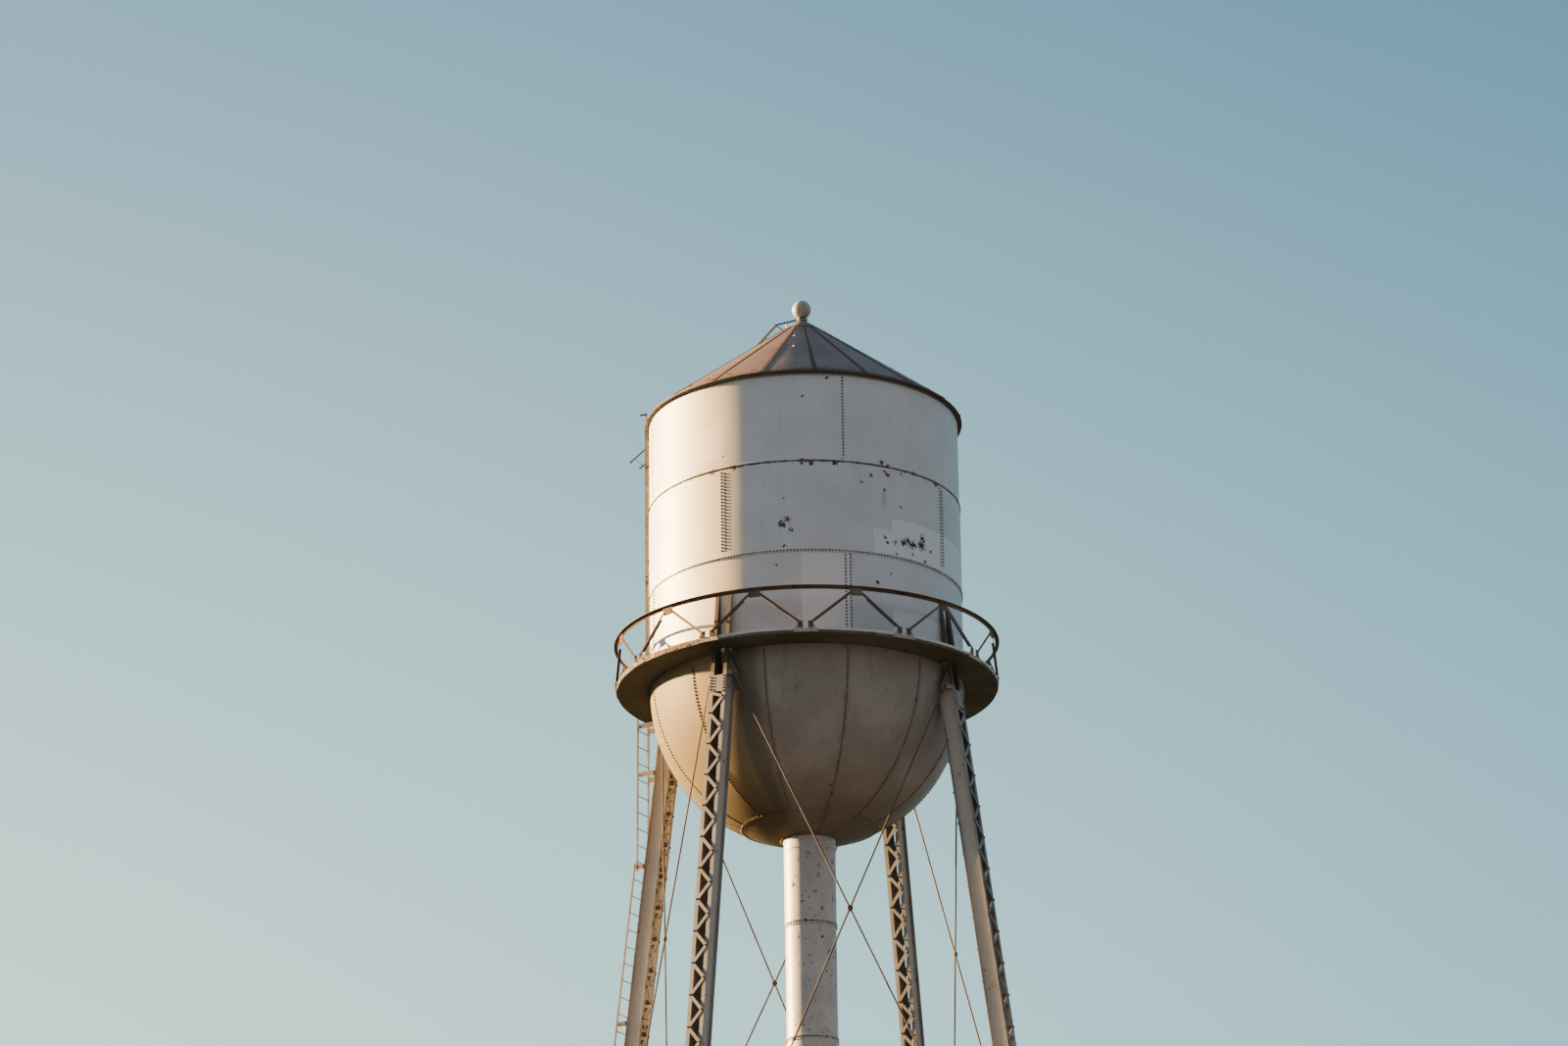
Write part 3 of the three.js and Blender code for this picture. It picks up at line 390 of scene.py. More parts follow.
def laps(seams, width, thick=0.004, fade=24.0):
    """Azimuths for a lapped ring and how far its plates stand proud there: a plate's end lies on the next
    plate, a step of one thickness at the seam that fades out over some degrees."""
    ends = np.concatenate([seams + side for side in (-width, -width + 0.02, width * 1.5)])
    azimuths = np.unique(np.round(np.concatenate([even() + 0.31, ends % 360.0]), 4))
    since = (azimuths[:, None] - (seams - width + 0.01)) % 360.0
    return azimuths, thick * np.clip(1.0 - since.min(1) / fade, 0.0, 1.0)


def stand(origins, along, side):
    """Frames at some origins: Z is along with its length kept, X the side direction made square to it."""
    origins, along, side = np.broadcast_arrays(origins, along, side)
    origins, along, side = (np.atleast_2d(v).astype(float) for v in (origins, along, side))
    unit = along / np.linalg.norm(along, axis=1, keepdims=True)
    x = side - np.sum(side * unit, 1, keepdims=True) * unit
    x = x / np.linalg.norm(x, axis=1, keepdims=True)
    return np.stack([x, np.cross(unit, x), along, origins], -1)


def placed(skin, origins, along, side):
    """One skin repeated in the frames that stand at some origins, all at once."""
    points, quads, fans = skin
    frames = stand(origins, along, side)
    moved = np.einsum("nij,pj->npi", frames[:, :, :3], points) + frames[:, None, :, 3]
    steps = np.arange(len(frames))[:, None, None] * len(points)
    return moved.reshape(-1, 3), (quads + steps).reshape(-1, 4), (fans + steps).reshape(-1, 3)


def circle(radius, sides):
    """Points round a circle."""
    turn = np.arange(sides) * 2 * np.pi / sides
    return np.stack([radius * np.cos(turn), radius * np.sin(turn)], -1)


def oblong(x, y):
    """The corners of a rectangle, from half its width and half its depth."""
    return [(-x, -y), (x, -y), (x, y), (-x, y)]


def prism(outline, low=0.0, high=1.0):
    """A flat outline made thick along Z, from low to high."""
    outline = np.asarray(outline, float)
    flat = np.broadcast_to(outline, (2, *outline.shape))
    return loft(np.dstack([flat, np.broadcast_to([[low], [high]], (2, len(outline)))]))


def lathed(profile, sides):
    """A solid turned round Z, with a ring for each radius and height of its profile."""
    return loft([np.column_stack([circle(r, sides), np.full(sides, z)]) for r, z in profile])


def button(radius, high, sides=6):
    """A rivet head: a wide ring sunk a little under the plate and a narrower one on top."""
    return lathed([(radius, -0.004), (radius * 0.74, high)], sides)


def piece(name, skins, finish, stands_for=(), body="tower", crease=32.0):
    """One object of all the skins, smooth but for edges sharper than the crease, riding on a body."""
    skins = skins if isinstance(skins, list) else [skins]
    starts = np.cumsum([0] + [len(skin[0]) for skin in skins])
    points = np.vstack([skin[0] for skin in skins])
    quads = np.vstack([skin[1] + start for skin, start in zip(skins, starts)])
    fans = np.vstack([skin[2] + start for skin, start in zip(skins, starts)])
    mesh = bpy.data.meshes.new(name)
    mesh.vertices.add(len(points))
    mesh.vertices.foreach_set("co", points.astype(np.float32).ravel())
    mesh.loops.add(quads.size + fans.size)
    mesh.loops.foreach_set("vertex_index", np.concatenate([quads.ravel(), fans.ravel()]).astype(np.int32))
    first_corners = np.concatenate([np.arange(len(quads)) * 4, quads.size + np.arange(len(fans)) * 3])
    mesh.polygons.add(len(first_corners))
    mesh.polygons.foreach_set("loop_start", first_corners.astype(np.int32))
    mesh.polygons.foreach_set("use_smooth", np.ones(len(first_corners), bool))
    mesh.update(calc_edges=True)
    mesh.set_sharp_from_angle(angle=np.radians(crease))
    mesh.materials.append(finish)
    made = bpy.data.objects.new(name, mesh)
    bpy.context.scene.collection.objects.link(made)
    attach(made, body)
    if stands_for:
        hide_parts(*stands_for)
    return made


def rivets(azimuths, radius, heights):
    """Rivet heads on an upright round wall."""
    return placed(button(RIVET_R, RIVET_HIGH), at(azimuths, radius, heights), away(azimuths), UP)


def ring_of(radius, pitch=RIVET_PITCH):
    """Azimuths that share a circle out at a pitch."""
    return even(int(round(2 * np.pi * radius / pitch)))


tank_paint = old_paint(
    "tank_paint_aged", TANK_GREY, TANK_CHALK, TANK_GRIME, rusted=0.30, streaked=0.18, extra=tank_wear_and_painted_light
)


def rivet_painted_light(finish, colour, rust):
    """Painted light: heads on the shade side and at the back are lighter in ragged patches, while on the
    sunlit side they stay near black as painted shade.
    """
    paint_and_painted_light = finish.azimuth.ramp(-0.80, -0.60).larger(finish.azimuth.ramp(-2.7, -3.0))
    ragged = finish.cloud(9.0, 6.0, 0.7, seed=95.0).ramp(0.36, 0.62)
    return finish.mixed(paint_and_painted_light * (0.40 + 0.5 * ragged), colour, (0.26, 0.235, 0.21)), rust


# Near black, so that the heads read dark under the lamp: painted shade; they are made lighter where shade
# falls.
rivet_paint = old_paint(
    "rivet_paint_rusty", (0.026, 0.018, 0.013), (0.060, 0.045, 0.036), RUST_DARK,
    rusted=0.25, seed=9.0, extra=rivet_painted_light, dull=0.8, gloss=0.1,
)
SEAMS = {"bottom": even(4) + 0.7, "middle": even(4) + 45.0, "top": even(4)}
for course, (foot, head) in COURSES.items():
    out = PLATE if course == "middle" else 0.0
    lap = COURSE_LAP if course == "middle" else 0.0
    low, high = foot - lap, head + lap
    outer, inner = TANK_R + out, TANK_R + out - PLATE
    azimuths, step = laps(SEAMS[course], 1.6)
    wall = [(outer, low), (outer, high), (outer - 0.002, high + 0.002), (inner, high + 0.002), (inner, low)]
    proud = step[:, None] * np.array([1.0, 1.0, 1.0, 0.0, 0.0])
    piece(f"{course}_course_plates", spun(wall, azimuths, proud), tank_paint,
          [f"shell_course_{course}"])

upright = np.arange(0.06, 1.80, RIVET_PITCH)
heads = [rivets(ring_of(TANK_R), TANK_R + out, height) for out, height in (
    (PLATE, COURSES["middle"][0] - 0.006), (PLATE, COURSES["middle"][1] + 0.006), (0.0, 0.16), (0.0, 5.452),
)]
for course, aside, out, heights in (
    ("bottom", -0.95, 0.004, upright),
    ("bottom", 0.85, 0.003, upright + 0.02),
    ("middle", -0.9, PLATE + 0.004, 1.95 + upright[:-2]),
    ("middle", 0.6, PLATE + 0.003, 1.98 + upright[:-3]),
    ("top", -0.4, 0.004, 3.75 + upright[:-2]),
):
    heads += [rivets(seam + aside, TANK_R + out, heights) for seam in SEAMS[course]]
piece("shell_rivets", heads, rivet_paint)

# Bowl. Twelve gores pressed to a half ball and lapped along their long seams, closed at the foot by a
# dish round the riser; hung from the shell's lower edge and riveted hot, one row to a seam.
GORES = even(12)
DISH_AT = 65.0
RISER_R = 0.489
BOWL_GREY = (0.405, 0.340, 0.290)
BOWL_CHALK = (0.490, 0.420, 0.365)
BOWL_GRIME = (0.17, 0.15, 0.13)


def bowl_wear_and_painted_shade(finish, colour, rust):
    """The sunlit side is painted darker and yellower, as painted shade against the lamp, with a band of
    painted shade by the terminator; rust weeps out of the gore seams and runs down towards the riser, and
    the bowl grows darker towards the bottom, with painted shade added there on the sunlit side.
    """
    sun_side = finish.sun_side(-0.55, -0.85)
    painted_terminator_shade = finish.azimuth.band(-0.78, -0.70, -0.62, -0.50)
    beside = abs(finish.azimuth.offset(np.pi / 6)) * finish.from_axis()
    ragged = finish.cloud(12.0, 7.0, 0.75, seed=31.0)
    seams = (ragged * 0.11 - 0.045 - beside).ramp(0.0, 0.02)
    weep = (finish.cloud(2.4, 5.0, 0.7, seed=32.0) * 0.5 - 0.16 - beside).ramp(0.0, 0.20)
    colour = finish.over(
        colour,
        # Painted shade: the sunlit side darker and yellower, more so at its far end.
        (sun_side * 0.9, (0.250, 0.185, 0.085)),
        (finish.azimuth.ramp(-0.90, -1.35) * sun_side * 0.8, (0.155, 0.126, 0.064)),
        # Painted shade: a darker band by the terminator.
        (painted_terminator_shade * 0.6, (0.10, 0.08, 0.055)),
        (weep * 0.5, (0.25, 0.15, 0.09)),
        # Darker towards the bottom; the extra on the sunlit side is painted shade.
        (finish.height.ramp(-2.00, -3.00) * (0.55 + 0.35 * sun_side), (0.050, 0.042, 0.030)),
    )
    runs = finish.spots([(-85.0, -1.45, 0.28), (-81.5, -1.75, 0.26), (-77.0, -2.0, 0.24)], 1.2)
    runs = (runs + ragged * 0.9 - 0.62).ramp(0.0, 0.12)
    return colour, rust.larger(seams).larger(runs * 0.9)


def ball_band(start, end, steps, azimuths, step=np.zeros(1), outer=TANK_R):
    """A band of a thick bowl between two angles under the rim, at azimuth a and angle f of a ball of
    radius r: x = r cos f sin a, y = -r cos f cos a, z = -r sin f."""
    down = np.radians(np.linspace(start, end, steps))
    angle = np.concatenate([down, down[::-1]])
    radius = np.repeat([outer, outer - PLATE], steps) + step[:, None] * np.repeat([1.0, 0.0], steps)
    return loft(at(azimuths[:, None], radius * np.cos(angle), -radius * np.sin(angle)), closed=True)


def bowl_rivets(azimuths, angles, radius):
    """Rivet heads square to the bowl, at azimuths and angles under its rim."""
    f = np.radians(angles)
    out = at(azimuths, np.cos(f), -WALK - np.sin(f))
    return placed(button(0.027, 0.016), out * radius + (0.0, 0.0, WALK), out, (0.31, 0.17, 0.93))


bowl_paint = old_paint(
    "bowl_paint_aged", BOWL_GREY, BOWL_CHALK, BOWL_GRIME,
    rusted=0.40, streaked=0.35, seed=2.0, extra=bowl_wear_and_painted_shade, dull=0.6, gloss=0.15,
)
gores = ball_band(0.0, DISH_AT, 30, *laps(GORES, 0.7, 0.003, 12.0))
piece("bowl_gore_plates", gores, bowl_paint, ["bowl_gores"])
riser_at = np.degrees(np.arccos(RISER_R / TANK_R))
dish = ball_band(DISH_AT - 1.0, riser_at, 9, even(), outer=TANK_R + 0.002)
piece("bowl_dish_plate", dish, bowl_paint, ["bowl_dish"])
down_seam = np.arange(3.0, DISH_AT - 1.0, np.degrees(0.067 / TANK_R))
heads = [bowl_rivets(gore, down_seam, TANK_R + 0.001) for gore in GORES]
piece("bowl_rivets", heads, rivet_paint)
piece("dish_rivets", [
    bowl_rivets(ring_of(1.29), DISH_AT - 0.2, TANK_R + 0.004),
    bowl_rivets(ring_of(0.545, 0.07), 79.7, TANK_R + 0.004),
], bowl_paint)

# Riser pipe. Rolled pipe lengths, alternately lapped inside and outside, each ring seam riveted, flared
# where it meets the dish; it stands on a round block of cast concrete.
RISER_FOOT = 0.9003 - WALK
RISER_SEAM = -4.702
RISER_LENGTH = 2.2495
RISER_SWELL = 0.008
RISER_GREY = (0.52, 0.49, 0.455)
RISER_CHALK = (0.64, 0.60, 0.55)
RISER_GRIME = (0.25, 0.23, 0.21)


def riser_wear(finish, colour, rust):
    """Rust at each ring seam and long thin stains under it."""
    along = (finish.height - RISER_SEAM).offset(RISER_LENGTH)
    ragged = finish.cloud(14.0, 7.0, 0.75, seed=41.0)
    seams = (ragged * 0.07 - 0.022 - abs(along)).ramp(0.0, 0.012)
    runs = finish.cloud(22.0, 4.0, 0.6, (1.0, 1.0, 0.05), 42.0).ramp(0.50, 0.70)
    colour = finish.mixed(runs * along.band(-0.9, -0.02, -0.02, 0.0) * 0.4, colour, (0.30, 0.18, 0.10))
    shabby = finish.height.ramp(-6.6, -8.0) * finish.azimuth.ramp(-0.5, -1.3)
    flakes = (finish.chips(16.0) * 0.5 + ragged + shabby * 0.26 - 1.00).ramp(0.0, 0.04)
    return colour, rust.larger(seams).larger(flakes)


riser_paint = old_paint(
    "riser_paint_aged", RISER_GREY, RISER_CHALK, RISER_GRIME,
    rusted=0.42, streaked=0.35, seed=3.0, extra=riser_wear,
)
seams = RISER_SEAM - RISER_LENGTH * np.arange(11)[::-1]
levels = np.concatenate([[RISER_FOOT], np.repeat(seams, 2), [-3.2005]])
levels[1:-1:2] -= 0.002
levels[2:-1:2] += 0.002
swell = np.tile([0.0, 0.0, RISER_SWELL, RISER_SWELL], 6)
pipe = np.column_stack([RISER_R + swell, levels])
flare = [(0.495, -3.0805), (0.511, -3.0225), (0.511, -3.0109), (0.479, -3.0109), (0.479, RISER_FOOT)]
piece("riser_pipe_plates", spun(np.vstack([pipe, flare]), even(96)), riser_paint,
      ["riser_pipe"])
riser_ring = ring_of(RISER_R, 0.062)
heads = [rivets(riser_ring, RISER_R + RISER_SWELL, seam + side) for seam in seams for side in (-0.03, 0.03)]
heads.append(rivets(riser_ring, RISER_R + 0.004, -3.23))
piece("riser_rivets", heads, riser_paint)


def concrete_finish():
    """Board-marked concrete: cement grey, sandy specks, damp dark feet and fine pits."""
    finish = Finish("pier_concrete")
    clouds = finish.cloud(1.6, 6.0, 0.6, seed=51.0)
    sand = finish.cloud(60.0, 3.0, 0.6, seed=52.0)
    colour = finish.over(
        (0.33, 0.32, 0.30),
        (clouds.ramp(0.35, 0.68), (0.45, 0.44, 0.41)),
        (sand.ramp(0.55, 0.75) * 0.5, (0.20, 0.19, 0.17)),
        ((finish.z + clouds * 0.25).ramp(0.30, 0.08) * 0.6, (0.14, 0.13, 0.11)),
    )
    boards = abs((finish.z % 0.15) - 0.075).ramp(0.068, 0.074)
    return finish.done(colour, 0.85 + 0.1 * (clouds - 0.5), sand * 0.25 + clouds - boards * 0.3, 0.004)


concrete = concrete_finish()
block = lathed([(1.212, 0.0), (1.154, 0.868), (1.118, 0.9)], 64)
piece("riser_block", block, concrete, ["riser_base"])

# Legs. Each is two rolled channels, toes out, with a batten plate at its head and a base plate at its foot;
# the CAD solids stay. Round-ended lacing bars zigzag up both faces, one rivet at each meeting.
LEG_R = 3.081
LEG_LEAN = 0.1351
BATTER = np.arctan(LEG_LEAN)
LEG_AT = {"front_right": 45.0, "back_right": 135.0, "back_left": 225.0, "front_left": 315.0}
FLANGE_AT = 0.150
WEB_AT = 0.107
LACING_STEP = 0.3135
LACING_REACH = 0.131
LACING_THICK = 0.0095
LEG_GREY = (0.275, 0.262, 0.245)
LEG_CHALK = (0.385, 0.37, 0.345)
LEG_GRIME = (0.13, 0.11, 0.095)


def on_leg(azimuth, out, side, up):
    """Points in a leg's own leaning frame: out from its middle, to the side, and up along it."""
    radius = LEG_R + out * np.cos(BATTER) - up * np.sin(BATTER)
    return at(azimuth, radius, out * np.sin(BATTER) + up * np.cos(BATTER), side)


def leg_ways(azimuth):
    """The leaning frame's directions: out, to the side, and up."""
    start = on_leg(azimuth, 0.0, 0.0, 0.0)
    return [on_leg(azimuth, *step) - start for step in np.eye(3)]


def leg_painted_light_and_shade(finish, colour, rust):
    """Painted shade inside the box between the channels, the webs painted lighter as painted light in their
    shade, and painted shade on the heads under the walkway, where its shadow falls.
    """
    turn = (finish.azimuth - np.pi / 4).offset(np.pi / 2)
    flat = finish.from_axis()
    out = flat * turn.math("COSINE") - LEG_R + finish.height * LEG_LEAN
    between = abs(out).ramp(FLANGE_AT + 0.004, FLANGE_AT)
    aside = abs(flat * turn.math("SINE")).ramp(WEB_AT - 0.003, WEB_AT)
    return finish.over(
        colour,
        # Painted shade inside the box between the channels.
        (between * (1.0 - aside) * 0.75, (0.10, 0.085, 0.068)),
        # Painted light: the webs lighter, to brighten them in their shade.
        (between * aside * 0.85, (0.60, 0.53, 0.44)),
        # Painted shade on the heads, where the walkway's shadow falls.
        (finish.height.ramp(-0.56, -0.40) * 0.85, (0.085, 0.068, 0.050)),
    ), rust


leg_paint = old_paint(
    "leg_paint_aged", LEG_GREY, LEG_CHALK, LEG_GRIME,
    rusted=0.52, streaked=0.4, seed=4.0, extra=leg_painted_light_and_shade, dull=0.7, gloss=0.12,
)
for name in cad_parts:
    if name.startswith(("leg_front", "leg_back", "strut_")):
        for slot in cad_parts[name].material_slots:
            slot.material = leg_paint


def round_ended(half, radius):
    """A flat bar with round ends, given as half its length up to their middles and their radius."""
    turn = np.linspace(-np.pi / 2, np.pi / 2, 5)
    tip = np.column_stack([half + radius * np.cos(turn), radius * np.sin(turn)])
    return prism(np.vstack([tip, -tip]), 0.0, LACING_THICK)


bar = round_ended(np.hypot(LACING_STEP, 2 * LACING_REACH) / 2, 0.030)
lacing_head = button(0.022, 0.018)
for leg, azimuth in LEG_AT.items():
    out, side, up = leg_ways(azimuth)
    heads = []
    for face, way, top in (("outer", 1.0, -1.030), ("inner", -1.0, -1.027)):
        n = np.arange(int((top + 28.9) / LACING_STEP))
        turn_way = np.where(n % 2, -1.0, 1.0)
        lift = 0.1623 + 0.0097 * (n % 2)
        middles = on_leg(azimuth, way * lift, 0.0, top - (n + 0.5) * LACING_STEP)
        lie = np.outer(-turn_way * 2 * LACING_REACH, side) - LACING_STEP * up
        bars = [placed(bar, middles, way * out, lie)]
        if face == "outer":
            start, end = (on_leg(azimuth, 0.167, y, s) for y, s in ((-0.123, -0.925), (0.131, -1.030)))
            short = round_ended(np.linalg.norm(end - start) / 2 - 0.005, 0.026)
            bars.append(placed(short, (start + end) / 2 - 0.0047 * out, out, end - start))
        piece(f"lacing_bars_{face}_{leg}", bars, leg_paint, [f"lacing_{face}_{leg}"])
        n = np.arange(len(n) + 1)
        zigzag = np.where(n % 2, -LACING_REACH, LACING_REACH)
        meets = on_leg(azimuth, way * 0.1815, zigzag, top - n * LACING_STEP)
        heads.append(placed(lacing_head, meets, way * out, side))
        for edge, count in ((-0.140, 5), (0.140, 5 + (way > 0))):
            rows = -0.615 - (way < 0) * 0.065 - np.arange(count) * 0.061
            heads.append(placed(lacing_head, on_leg(azimuth, way * 0.172, edge, rows), way * out, side))
    piece(f"leg_rivets_{leg}", heads, rivet_paint)

# Piers. One to each leg: cast concrete, battered, with a chamfered head, and four anchor bolts that come
# up through the steel base plate.
PIER_OUT = 7.1069
PIER_ROUND = 0.03


def rounded_square(half, height):
    """A square ring with round corners at a height over the ground."""
    turn = np.radians(np.linspace(0, 90, 4))
    corner = np.column_stack([np.cos(turn), np.sin(turn)]) * PIER_ROUND + half - PIER_ROUND
    ring = np.vstack([corner @ np.array([[c, s], [-s, c]]) for c, s in ((1, 0), (0, 1), (-1, 0), (0, -1))])
    return np.column_stack([ring, np.full(len(ring), height)])


pier = loft([rounded_square(0.750, 0.0), rounded_square(0.568, 0.455), rounded_square(0.545, 0.4985)])
bolt = lathed([(0.030, 0.0), (0.030, 0.024), (0.026, 0.028)], 6)
stud = lathed([(0.016, 0.0), (0.016, 0.056), (0.012, 0.060)], 12)
steel_dark = old_paint(
    "bare_steel_rusty", (0.16, 0.13, 0.11), (0.22, 0.19, 0.17), (0.07, 0.05, 0.04), rusted=0.8, seed=5.0
)
corner_out, corner_side = 0.285 * np.array([[-1.0, -1.0, 1.0, 1.0], [-1.0, 1.0, -1.0, 1.0]])
for leg, azimuth in LEG_AT.items():
    block = placed(pier, at(azimuth, PIER_OUT, -WALK), UP, away(azimuth))
    piece(f"pier_block_{leg}", block, concrete, [f"pier_{leg}"])
    spots = at(azimuth, PIER_OUT + corner_out, 0.54 - WALK, corner_side)
    bolts = [placed(shape, spots, UP, (1.0, 0.0, 0.0)) for shape in (bolt, stud)]
    piece(f"anchor_bolts_{leg}", bolts, steel_dark)

# Tie rods. Round bars with forked ends, pinned to lug plates on the legs, crossed on each face in three
# panels; where two cross, a small clamp keeps them from rattling.
PANELS = [(-0.492, -12.17), (-12.65, -21.0), (-21.48, -29.3)]
ROD_R = 0.017
ROD_BROWN = (0.13, 0.100, 0.078)
ROD_CHALK = (0.20, 0.165, 0.135)


def anchor(height):
    """The pin on the front face, at the leg on its right."""
    radius = LEG_R - LEG_LEAN * height
    reach = np.sqrt(0.5)
    return np.array([reach * (radius - 0.223), -reach * (radius + 0.279), WALK + height])


rod_paint = old_paint(
    "rod_paint_aged", ROD_BROWN, ROD_CHALK, (0.07, 0.05, 0.04), rusted=0.62, seed=6.0, dull=0.75, gloss=0.08
)
mirror = np.array([-1.0, 1.0, 1.0])
round_rod = prism(circle(ROD_R, 12))
half_turn = np.linspace(-np.pi / 2, np.pi / 2, 5)
cheek_tip = np.column_stack([0.036 * np.cos(half_turn), 0.036 * np.sin(half_turn)])
cheek_tail = [(-0.15, 0.030), (-0.20, 0.018), (-0.20, -0.018), (-0.15, -0.030)]
cheek = prism(np.vstack([cheek_tip, cheek_tail]), -0.004, 0.004)
pin = prism(circle(0.016, 8), -0.030, 0.030)
pin_head = prism(circle(0.028, 6), -0.012, 0.012)
clamp = [prism(circle(0.055, 14), -0.026, 0.026), prism(circle(0.020, 6), -0.040, 0.040)]
for quarter, face in enumerate(("front", "right", "back", "left")):
    turn = np.array(Matrix.Rotation(quarter * np.pi / 2, 3, "Z"))
    for part, (top, foot) in zip(("top", "middle", "bottom"), PANELS):
        first, second = anchor(top), anchor(foot)
        face_out = np.cross((1.0, 0.0, 0.0), (first - second) * (0.0, 1.0, 1.0))
        face_out = face_out / np.linalg.norm(face_out)
        skins = []
        for start, end in ((first, second * mirror), (first * mirror, second)):
            way = (end - start) / np.linalg.norm(end - start)
            skins.append(placed(round_rod, start + 0.16 * way, end - start - 0.32 * way, face_out))
            for pin_at, inwards in ((start, way), (end, -way)):
                for side in (-1.0, 1.0):
                    skins.append(placed(cheek, pin_at + side * 0.0135 * face_out, face_out, -inwards))
                    skins.append(placed(pin_head, pin_at + side * 0.028 * face_out, face_out, inwards))
                skins.append(placed(pin, pin_at, face_out, inwards))
        crossing = first + first[0] / (first[0] + second[0]) * (second * mirror - first)
        skins += [placed(shape, crossing, face_out, UP) for shape in clamp]
        skins = [(points @ turn.T, quads, fans) for points, quads, fans in skins]
        piece(f"tie_rods_{part}_{face}", skins, rod_paint, [f"rods_{part}_{face}"])

# Walkway. A chequered steel plate ring on the tank's foot, notched round the legs, with an upright curb;
# rust eats its thin edges and the paint under it has gone to dark olive.
WALK_R = 3.698
NOTCH = 3.23
NOTCH_IN = 3.2455
WALK_OLIVE = (0.132, 0.116, 0.078)
WALK_CHALK = (0.20, 0.178, 0.125)
CURB_CREAM = (0.80, 0.76, 0.68)


def walk_wear_and_painted_light(finish, colour, rust):
    """The curb keeps its light paint in ragged patches over rust; the patches reach lower on the sunlit side
    as painted light, the sunlit curb is toned brown, part rust and part painted shade, and the plate is
    painted darker on the sunlit side as painted shade.
    """
    curb = finish.from_axis().ramp(WALK_R - 0.012, WALK_R - 0.004) * finish.height.ramp(0.0, 0.004)
    ragged = finish.cloud(7.0, 7.0, 0.75, (1.0, 1.0, 1.6), seed=61.0)
    sunny = finish.azimuth.ramp(-0.55, -0.95) * 0.06
    # Cream paint, reaching lower on the sunlit side as painted light.
    paint_and_painted_light = curb * (finish.height + ragged * 0.05 + sunny - 0.078).ramp(0.0, 0.006)
    colour = finish.over(
        colour,
        (paint_and_painted_light * 0.9, CURB_CREAM),
        # The sunlit curb toned brown: part rust, part painted shade.
        (curb * sunny * 15.0, (0.150, 0.085, 0.055)),
        # Painted shade: the plate darker on the sunlit side.
        (finish.azimuth.ramp(-0.45, -1.00) * (1.0 - curb) * 0.8, (0.048, 0.056, 0.060)),
    )
    return colour, rust * (1.0 - paint_and_painted_light) + paint_and_painted_light * (ragged - 0.42).ramp(0.0, 0.1) * sunny * 10.0


walk_paint = old_paint(
    "walkway_paint_aged", WALK_OLIVE, WALK_CHALK, (0.05, 0.045, 0.035),
    rusted=0.50, streaked=0.4, seed=7.0, extra=walk_wear_and_painted_light, dull=0.80, gloss=0.12,
)
edges = np.concatenate([even(4) + 45.0 + side for side in (-NOTCH, -NOTCH + 0.01, NOTCH - 0.01, NOTCH)])
azimuths = np.unique(np.concatenate([even(), edges]))
from_leg = abs((azimuths % 90.0) - 45.0)
inner = np.where(from_leg < NOTCH - 0.005, NOTCH_IN / np.cos(np.radians(from_leg)), TANK_R + 0.0003)
section = np.array([
    (0.0, 0.0), (WALK_R, 0.0), (WALK_R, 0.103), (WALK_R - 0.002, 0.105),
    (WALK_R - 0.006, 0.105), (WALK_R - 0.008, 0.103), (WALK_R - 0.008, 0.012), (0.0, 0.012),
])
radii = np.where(section[None, :, 0] == 0.0, inner[:, None], section[None, :, 0])
piece("walkway_ring", loft(at(azimuths[:, None], radii, section[None, :, 1]), closed=True), walk_paint,
      ["balcony_floor"])
curb_heads = np.concatenate([ring_of(WALK_R, 0.31), ring_of(WALK_R, 0.31) + 0.9])
piece("curb_rivets", rivets(curb_heads, WALK_R, 0.035), steel_dark)

# Handrail. A rolled angle ring on twelve pairs of sloping small angles, cut flat at their ends and bolted
# to trapezoid plates at the head and to upright plates on the curb at the foot.
RAIL_R = 3.755
RAIL_TOP = 0.930
RAIL_IN = 3.679
RAIL_BROWN = (0.23, 0.165, 0.12)
RAIL_CHALK = (0.31, 0.235, 0.175)
PLATE_CREAM = (0.47, 0.43, 0.36)


def rail_painted_shade(finish, colour, rust):
    """Painted shade below the ring's top face: darkest on the sunlit side, where it takes the place of rust,
    and half as strong across the front, so that sunlit faces there read dark.
    """
    hanging = finish.height.ramp(RAIL_TOP - 0.011, RAIL_TOP - 0.017)
    # Painted shade on the sunlit side, below the top face.
    sun_side = finish.sun_side(-0.85, -1.15) * hanging
    # Painted shade across the front, below the top face.
    front = finish.azimuth.band(-0.95, -0.80, 0.35, 0.50) * hanging
    colour = finish.over(colour, (front * 0.5, (0.055, 0.038, 0.027)), (sun_side, (0.040, 0.0185, 0.012)))
    return colour, rust * (1.0 - sun_side)


def plate_rust_and_painted_shade(finish, colour, rust):
    """Plates on the sunlit side go dark rust-brown in ragged patches: part rust, part painted shade against
    the lamp.
    """
    sun_side = finish.sun_side(-0.70, -1.00)
    ragged = finish.cloud(9.0, 6.0, 0.7, seed=65.0).ramp(0.40, 0.60)
    # Part rust, part painted shade, on the sunlit side.
    colour = finish.mixed(sun_side * (0.55 + 0.4 * ragged), colour, (0.100, 0.056, 0.034))
    return colour, rust * (1.0 - sun_side)


